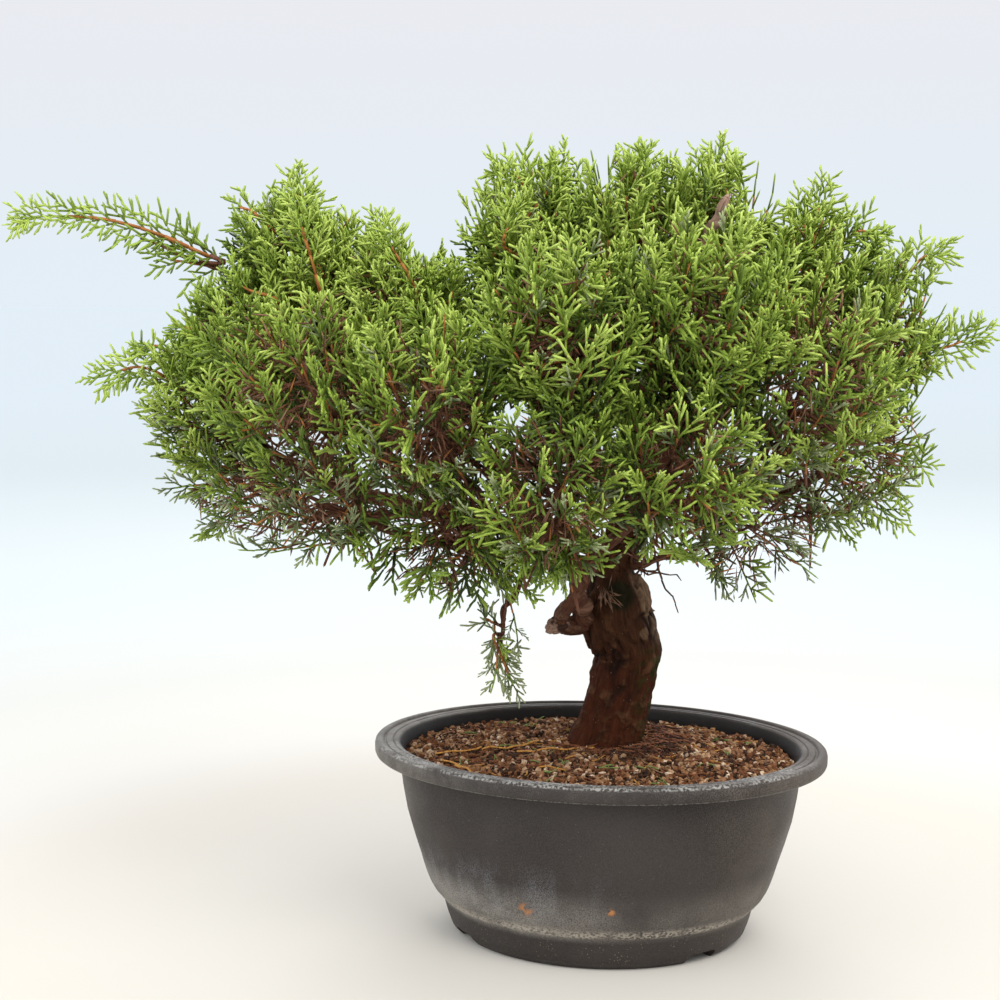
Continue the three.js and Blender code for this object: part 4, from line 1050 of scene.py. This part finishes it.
# Pot: an oval profile drawn out ring by ring, from the middle of the underside to the middle of the floor, in
# millimetres. Rim and foot have half a length and half a width; steps are out from the foot's edge and up, or
# in from the rim's edge and down from the top
pot = {
    "rim": (135.0, 104.5), "foot": (83.0, 71.0), "height": 113.6, "wall": 2.8, "recess": 5.0, "floorTop": 9.0,
    "footRing": 9.0, "sides": 144, "notchWidth": 20.0, "notchHeight": 12.0,
    "notchTurns": (-0.205, -0.795, 0.205, 0.795), "rib": 10.0, "ribHeight": 6.0, "pad": 16.0,
    "holeRadius": 6.0, "holes": (37.0, 23.0), "wallTop": (120.0, 104.3),
    "footSteps": [(-9.8, 5.0), (-9.0, 4.2), (-8.4, 0.0)],
    "wallSteps": [
        (0.8, 0.0), (1.8, 0.6), (5.5, 4), (7.8, 10), (9.5, 16), (10.1, 18.2), (11, 20), (13.6, 22.6),
        (16.5, 26), (18.8, 30), (20.5, 34), (22.4, 39.5), (24, 45), (28.2, 58), (32.3, 72), (34.9, 86)],
    "rimSteps": [
        (15.0, 10.1), (13.9, 9.3), (1.6, 9.2), (0.7, 8.5), (0.1, 7.1), (0.0, 3.0), (0.4, 1.4), (1.3, 0.4),
        (2.6, 0.0), (4.4, 0.1), (5.2, 0.7), (5.8, 1.5), (6.6, 1.6), (7.2, 1.0), (10.6, 0.9), (11.3, 1.5),
        (12.0, 1.0), (13.9, 1.1), (15.4, 2.2)],
    "innerHeights": (106, 98, 86, 72, 58, 45, 34, 26, 18, 9),
}
rimRadius, footRadius, top = pot["rim"][0], pot["foot"][0], pot["height"]
footSquash, rimSquash = (width / length for length, width in (pot["foot"], pot["rim"]))


def potSquash(height):
    return footSquash + (rimSquash - footSquash) * min(max(height / top, 0), 1)


def potWallRadius(height):
    steps = [(footRadius + out, up) for out, up in pot["wallSteps"]] + [pot["wallTop"]]
    return float(np.interp(height, [up for out, up in steps], [out for out, up in steps]))


def drawOval(profile, sides):
    radius, height = profile[0]
    piece = addDisc(sides, radius * mm, height * mm)
    piece.scale = (1, potSquash(height), 1)
    steps = []
    for (radius, height), (nextRadius, nextHeight) in zip(profile, profile[1:]):
        grown, squashed = nextRadius / radius, potSquash(nextHeight) / potSquash(height)
        steps.append(((nextHeight - height) * mm, nextHeight * mm, grown, grown * squashed))
    return drawOut(settle(piece), steps)


potProfile = [(2, pot["recess"])]
potProfile += [(footRadius + out, up) for out, up in pot["footSteps"] + pot["wallSteps"]]
potProfile += [(rimRadius - inwards, top - down) for inwards, down in pot["rimSteps"]]
potProfile += [(potWallRadius(up) - pot["wall"], up) for up in pot["innerHeights"]] + [(2, pot["floorTop"])]
potShell = drawOval(potProfile, pot["sides"])


def addBar(size, place, turn=0.0):
    bar = addShape(bpy.ops.mesh.primitive_cube_add, size=1)
    bar.scale = [s * mm for s in size]
    bar.location = [p * mm for p in place]
    bar.rotation_euler = (0, 0, turn)
    return settle(bar)


def addRound(vertices, radius, depth, place):
    return addShape(bpy.ops.mesh.primitive_cylinder_add, vertices=vertices, radius=radius * mm,
                    depth=depth * mm, location=[p * mm for p in place])


def combine(tool, operation):
    applyModifier(potShell, "BOOLEAN", operation=operation, object=tool, solver="EXACT")
    bpy.data.objects.remove(tool)


ribMiddle = (0, 0, pot["ribHeight"] / 2)
ribLengths = [2 * half - pot["footRing"] for half in pot["foot"]]
combine(addBar((ribLengths[0], pot["rib"], pot["ribHeight"]), ribMiddle), "UNION")
combine(addBar((pot["rib"], ribLengths[1], pot["ribHeight"]), ribMiddle), "UNION")
combine(addRound(48, pot["pad"], pot["ribHeight"], ribMiddle), "UNION")
for turn in pot["notchTurns"]:
    angle = turn * math.pi
    place = (math.cos(angle) * footRadius * 0.97, math.sin(angle) * pot["foot"][1] * 0.97, 0)
    notch = addBar((4 * pot["footRing"], pot["notchWidth"], pot["notchHeight"]), place, angle)
    applyModifier(notch, "BEVEL", width=2.6 * mm, segments=3, limit_method="ANGLE")
    combine(notch, "DIFFERENCE")
for sideX in (-1, 1):
    for sideY in (-1, 1):
        place = (sideX * pot["holes"][0], sideY * pot["holes"][1], pot["floorTop"])
        combine(addRound(32, pot["holeRadius"], 4 * pot["floorTop"], place), "DIFFERENCE")
pick(potShell)
bpy.ops.object.shade_smooth_by_angle(angle=math.radians(38))

# Pot plastic: matte charcoal with fine grain, dusty at both ends, scuffed along the rim with painted
# highlights on its front edges and painted shade on its inner wall, caked at the waist
potPlastic, shader, place = newMaterial("potPlastic", 0.5, 0.32)
x, y, z = addNode(place.id_data, "SeparateXYZ", {0: place})
sides = addNode(place.id_data, "Math", {0: x}, operation="ABSOLUTE")[0]
drawnDown = vectorMath("MULTIPLY", place, (1, 1, 0.35))
ovalRadius = vectorMath("LENGTH", vectorMath("MULTIPLY", place, (1, pot["rim"][0] / pot["rim"][1], 0)))
grain = patchMask(place, 1700.0, 0.4, 0.62, 3.0)
ends, left, front = rampMask(sides, 0.055, 0.125), rampMask(x, 0.05, -0.05), rampMask(y, 0.0, -0.06)
rim = rampMask(z, 0.1035, 0.1045)
haze = product(bandMask(z, 0.016, 0.021, 0.029, 0.052), patchMask(place, 38.0, 0.15, 0.6),
               patchMask(place, 1500.0, 0.22, 0.7, 6.0))
footSpecks = useGroup(specks, place, Scale=520.0, Size=0.16)["Mask"]
frontScuffAndHighlight = product(patchMask(place, 620.0, 0.42, 0.58, 4.0), front)
rust = patchMask(place, 330.0, 0.4, 0.58)
rustSpots = [((-0.0243, -0.084, 0.0358), 0.0058, 0.001), ((0.0243, -0.0846, 0.0385), 0.0034, 0.0006)]
colour = mixColours(patchMask(place, 14.0, 0.35, 0.7, 5.0), (0.021, 0.0155, 0.0135), (0.033, 0.026, 0.023))
colour = paintLayers(
    colour, ((0.08, 0.068, 0.06), grain, 0.3),
    ((0.2, 0.15, 0.105), ends, grain, patchMask(place, 30.0, 0.2, 0.6), 0.36),
    ((0.28, 0.26, 0.23), dotMask(place, 330.0, 0.08, 0.45)),
    ((0.165, 0.17, 0.18), bandMask(z, 0.024, 0.034, 0.044, 0.068), patchMask(drawnDown, 95.0, 0.36, 0.66),
     grain, left, 0.8),
    ((0.25, 0.225, 0.195), haze, 0.45), ((0.27, 0.235, 0.19), haze, ends, 0.55),
    ((0.33, 0.305, 0.27), haze, left, 0.85),
    ((0.45, 0.4, 0.33), bandMask(z, 0.0192, 0.0214, 0.0226, 0.0275), patchMask(place, 60.0, 0.3, 0.5),
     patchMask(place, 620.0, 0.4, 0.55, 3.0), 0.85),
    ((0.3, 0.22, 0.145), bandMask(z, -0.01, 0.0, 0.014, 0.021), footSpecks, patchMask(place, 70.0, 0.4, 0.6),
     0.7),
    ((0.22, 0.2, 0.175), rim, patchMask(place, 55.0, 0.36, 0.7), grain, 0.22),
    ((0.29, 0.27, 0.235), rim, rampMask(x, -0.03, -0.125), patchMask(place, 95.0, 0.25, 0.65), 0.4),
    # Pale lines along the rim's upper and lower front edges: fine scuffs and painted highlight
    ((0.4, 0.39, 0.37), bandMask(z, 0.1116, 0.1125, 0.1133, 0.1142), patchMask(place, 60.0, 0.3, 0.6),
     frontScuffAndHighlight, 0.7),
    ((0.26, 0.24, 0.215), bandMask(z, 0.1034, 0.1042, 0.1046, 0.1054), patchMask(place, 60.0, 0.3, 0.55),
     frontScuffAndHighlight, 0.6),
    # The inner wall above the soil is painted near-black: painted shade in the recess
    ((0.007, 0.005, 0.004), rampMask(ovalRadius, 0.1206, 0.119), rampMask(z, 0.1, 0.1015)),
    *[((0.42, 0.17, 0.055), nearMask(place, *spot), rust) for spot in rustSpots])
feed(shader["Base Color"], colour)
feed(shader["Roughness"], rampMask(patchMask(place, 22.0, 0.3, 0.7, 6.0), 0.0, 1.0, 0.42, 0.62, "LINEAR"))
fine = {"Vector": place, "Scale": 1500.0, "Detail": 4.0, "Roughness": 0.62}
addBumps(shader, (addNode(place.id_data, "TexNoise", fine)["Fac"], 0.55, 0.0006))
finishPiece(potShell, "potShell", potPlastic, "pot_plastic", "pot")
print("pot drawn")

# Soil: a bed that rises to the trunk, covered with loose granules, chips of bark and litter.
# The bed's rings are at a share of its edge and a rise above it
soil = {
    "edgeHeight": 103.5, "mound": 6.0, "moundAt": (26, 22, 0), "moundWidth": 26.0, "granules": 9200,
    "smallest": 0.65, "largest": 2.7, "fibres": 1500, "orangeTwigs": 34, "greenBits": 30, "footFibres": 250,
    "rings": [(1, 0), (0.95, 0.8), (0.86, 1.6), (0.75, 2.5), (0.64, 3.4), (0.54, 4.2), (0.44, 4.8),
              (0.34, 5.2), (0.24, 5.4), (0.12, 5.5), (0.02, 5.5)],
}
soilEdge = potWallRadius(soil["edgeHeight"]) - pot["wall"] - 0.5
soilBed = drawOval([(soilEdge - 6, 92), (soilEdge, 96)] + [
    (soilEdge * share, soil["edgeHeight"] + rise) for share, rise in soil["rings"]], 96)
applyModifier(soilBed, "SUBSURF", levels=1, render_levels=1, subdivision_type="SIMPLE")
lumps = bpy.data.textures.new("soilLumps", "CLOUDS")
lumps.noise_scale = 0.009
applyModifier(soilBed, "DISPLACE", texture=lumps, texture_coords="LOCAL", direction="Z", strength=0.004,
              mid_level=0.62)
bed = readPoints(soilBed)
away = np.linalg.norm(bed[:, :2] - toRow(soil["moundAt"])[:2], axis=1) / (soil["moundWidth"] * mm)
bed[:, 2] += np.where(bed[:, 2] > 0.1, soil["mound"] * mm * np.exp(-away ** 2), 0)
writePoints(soilBed, bed)
surface = BVHTree.FromPolygons([tuple(p) for p in bed], [tuple(f.vertices) for f in soilBed.data.polygons])


def makeSoilMaterial(name, dark, light):
    material, shader, place = newMaterial(name, 0.95, 0.2)
    mottle = patchMask(place, 420.0, 0.35, 0.65, 5.0)
    feed(shader["Base Color"], mixColours(mottle, dark, light))
    addBumps(shader, (mottle, 0.6, 0.0005))
    return material


def soilHeight(x, y):
    hit = surface.ray_cast(Vector((x, y, 0.3)), Vector((0, 0, -1)))
    return hit[0].z if hit[0] is not None else soil["edgeHeight"] * mm


finishPiece(soilBed, "soilBed", makeSoilMaterial("darkSoil", (0.01, 0.005, 0.003), (0.045, 0.019, 0.009)),
            "granules", "soil")
random = np.random.default_rng(7)
count = soil["granules"]
angles = random.uniform(0, fullTurn, count)
outs = np.sqrt(random.random(count)) * (soilEdge - 0.8) * mm
grainX, grainY = np.cos(angles) * outs, np.sin(angles) * outs * potSquash(soil["edgeHeight"])
grainZ = np.array([soilHeight(x, y) for x, y in zip(grainX, grainY)])
pebble = addShape(bpy.ops.mesh.primitive_ico_sphere_add, subdivisions=1, radius=1)
pebblePoints = readPoints(pebble).astype(float)
pebbleFaces = np.array([f.vertices[:] for f in pebble.data.polygons])
bpy.data.objects.remove(pebble)
length = soil["smallest"] + (soil["largest"] - soil["smallest"]) * random.random((count, 1)) ** 1.8
size = length * mm * np.hstack([np.ones((count, 1)), random.uniform(0.45, 0.95, (count, 1)),
                                random.uniform(0.35, 0.8, (count, 1))])
spin = np.array([Quaternion(turn).normalized().to_matrix() for turn in random.normal(0, 1, (count, 4))])
uneven = pebblePoints[None] * (1 + random.normal(0, 0.2, (count, len(pebblePoints), 1)))
pebbles = np.einsum("nij,nkj->nki", spin, uneven * size[:, None, :])
lift = random.uniform(0.1, 0.9, count) * size.mean(axis=1)
pebbles += np.stack([grainX, grainY, grainZ + lift], -1)[:, None, :]
granuleKinds = {
    "darkGranule": ((0.02, 0.009, 0.005), (0.07, 0.03, 0.015), 0.2),
    "redGranule": ((0.1, 0.036, 0.014), (0.2, 0.08, 0.033), 0.29),
    "brownGranule": ((0.175, 0.08, 0.034), (0.315, 0.165, 0.082), 0.31),
    "tanGranule": ((0.34, 0.2, 0.11), (0.5, 0.33, 0.2), 0.15),
    "paleGranule": ((0.52, 0.37, 0.25), (0.68, 0.53, 0.39), 0.05),
}
share = random.random(count)
below = 0.0
for name, (dark, light, part) in granuleKinds.items():
    piece = meshFromArrays(name, (pebbles[(share >= below) & (share < below + part)], pebbleFaces))
    below += part
    finishPiece(piece, name + "s", makeSoilMaterial(name, dark, light), "granules", "soil")
    bpy.ops.object.shade_flat()
print("soil laid:", count, "granules")

# Litter on the soil: dead orange and brown twigs, bits of green cord and root fibres by the trunk's foot
litter = []
litterKinds = {"rootFibre": (0.23, 0.085, 0.04), "darkFibre": (0.055, 0.022, 0.012),
               "strawFibre": (0.36, 0.21, 0.11), "orangeLitter": (0.5, 0.235, 0.05),
               "greenLitter": (0.17, 0.23, 0.06)}
longTwigs = [(-84, -44, -0.35, 48), (-66, -20, -0.1, 40), (-44, -24, 0.12, 46), (-92, -30, -0.2, 30),
             (-74, -52, -0.45, 34)]


def layLitter(x, y, heading, length, radius, kind, curl, hop):
    steps = max(2, int(length / 5))
    point = np.array([x, y, soilHeight(x * mm, y * mm) / mm + radius + hop])
    bend = random.normal(0, curl)
    for _ in range(steps):
        heading += bend * 0.6 + random.normal(0, curl * 0.5)
        after = point + np.array([math.cos(heading), math.sin(heading), 0]) * length / steps
        if (after[0] / soilEdge) ** 2 + (after[1] / (soilEdge * potSquash(100))) ** 2 > 0.96:
            return
        after[2] = soilHeight(after[0] * mm, after[1] * mm) / mm + radius + hop + random.uniform(-0.4, 0.7)
        litter.append((point, after + (after - point) * 0.06, radius, kind))
        point = after


def anywhere():
    angle, out = random.uniform(0, fullTurn), math.sqrt(random.random()) * soilEdge * 0.95
    return math.cos(angle) * out, math.sin(angle) * out * 0.8


for n in range(soil["fibres"]):
    kind = ("rootFibre", "darkFibre", "strawFibre")[random.choice(3, p=(0.45, 0.35, 0.2))]
    layLitter(*anywhere(), random.uniform(0, fullTurn), random.uniform(3, 12), random.uniform(0.2, 0.5),
              kind, 0.3, random.uniform(0.4, 1.6))
for n in range(soil["orangeTwigs"]):
    layLitter(*anywhere(), random.uniform(0, fullTurn), random.uniform(8, 24), random.uniform(0.35, 0.6),
              "orangeLitter", 0.25, 1.2)
for n in range(soil["greenBits"]):
    x, y = anywhere()
    heading = random.uniform(0, fullTurn)
    for k in range(random.integers(1, 4)):
        layLitter(x + random.normal(0, 1.5), y + random.normal(0, 1.5), heading + random.normal(0, 0.5),
                  random.uniform(5, 13), random.uniform(0.35, 0.55), "greenLitter", 0.15, 1.5)
for x, y, heading, length in longTwigs:
    layLitter(x, y, heading, length, 0.75, "orangeLitter", 0.22, 1.8)
foot = toRow((10, 12, 0)) / mm
for n in range(soil["footFibres"]):
    angle = random.normal(-0.35, 0.8)
    out = random.uniform(20, 34)
    layLitter(foot[0] + math.cos(angle) * out, foot[1] + math.sin(angle) * out, angle + random.normal(0, 0.8),
              random.uniform(6, 24), random.uniform(0.22, 0.5), ("rootFibre", "darkFibre")[n % 2], 0.6,
              random.uniform(0.5, 3.5))
start, end, radius, kind = (np.array(column) for column in zip(*litter))
corners = rodCorners(start * mm, end * mm, radius * mm, radius * mm * 0.9, np.zeros(len(kind)))
for name, colour in litterKinds.items():
    piece = meshFromArrays(name, (corners[kind == name], rodFaces))
    finishPiece(piece, name + "s", makeCordMaterial(name, colour, 0.8), "granules", "soil")
print("litter laid")

# Studio: a plain pale floor, a pale sky round it and soft lights
studio = {
    "floorSize": 80.0, "farthest": 6.0,
    "floorColours": [
        (0.04, (0.56, 0.535, 0.49)), (0.061, (0.556, 0.522, 0.471)), (0.084, (0.566, 0.551, 0.517)),
        (0.132, (0.503, 0.507, 0.484)), (0.22, (0.5, 0.54, 0.55)), (0.401, (0.56, 0.62, 0.64)),
        (0.9, (0.586, 0.652, 0.697))],
    "skyLow": (0.775, 0.86, 0.93), "skyHigh": (0.82, 0.83, 0.875), "skyTop": (1.3, 1.32, 1.35),
}
floor = addShape(bpy.ops.mesh.primitive_plane_add, size=studio["floorSize"])
floor.name = "floor"
floorPaint, shader, place = newMaterial("floorPaint", 0.9)
far = {0: vectorMath("LENGTH", place), 1: studio["farthest"]}
shareOut = addNode(place.id_data, "Math", far, operation="DIVIDE")[0]
floorColour = addNode(place.id_data, "ValToRGB", {"Fac": shareOut})["Color"]
stops = floorColour.node.color_ramp.elements
for n, (stop, colour) in enumerate(studio["floorColours"]):
    element = stops[0] if n == 0 else stops.new(stop)
    element.position = stop
    element.color = (*colour, 1)
stops.remove(stops[-1])
feed(shader["Base Color"], floorColour)
floor.data.materials.append(floorPaint)
world = bpy.data.worlds.new("paleSky")
bpy.context.scene.world = world
world.use_nodes = True
sky = world.node_tree
x, y, z = addNode(sky, "SeparateXYZ", {0: addNode(sky, "TexCoord")["Generated"]})
low = mixColours(rampMask(z, 0.0, 0.16, curve="LINEAR"), studio["skyLow"], studio["skyHigh"])
feed(sky.nodes["Background"].inputs["Color"], mixColours(rampMask(z, 0.18, 0.4), low, studio["skyTop"]))
bpy.context.scene.view_settings.view_transform = "Standard"
lights = {
    "keyLight": {"place": (0.9, -0.9, 1.7), "size": 1.2, "energy": 26.0, "colour": (1.0, 0.97, 0.92)},
    "fillLight": {"place": (-1.4, -0.9, 0.9), "size": 1.4, "energy": 9.0, "colour": (0.93, 0.97, 1.0)},
    "backLight": {"place": (-0.3, 1.4, 1.5), "size": 1.2, "energy": 14.0, "colour": (1.0, 1.0, 1.0)},
}
for name, light in lights.items():
    bpy.ops.object.light_add(type="AREA", location=light["place"])
    lamp = bpy.context.object
    lamp.name = name
    lamp.data.size = light["size"]
    lamp.data.energy = light["energy"]
    lamp.data.color = light["colour"]
    lamp.rotation_euler = facing(Vector((0, 0, 0.25)) - Vector(light["place"]))
print("studio lit")
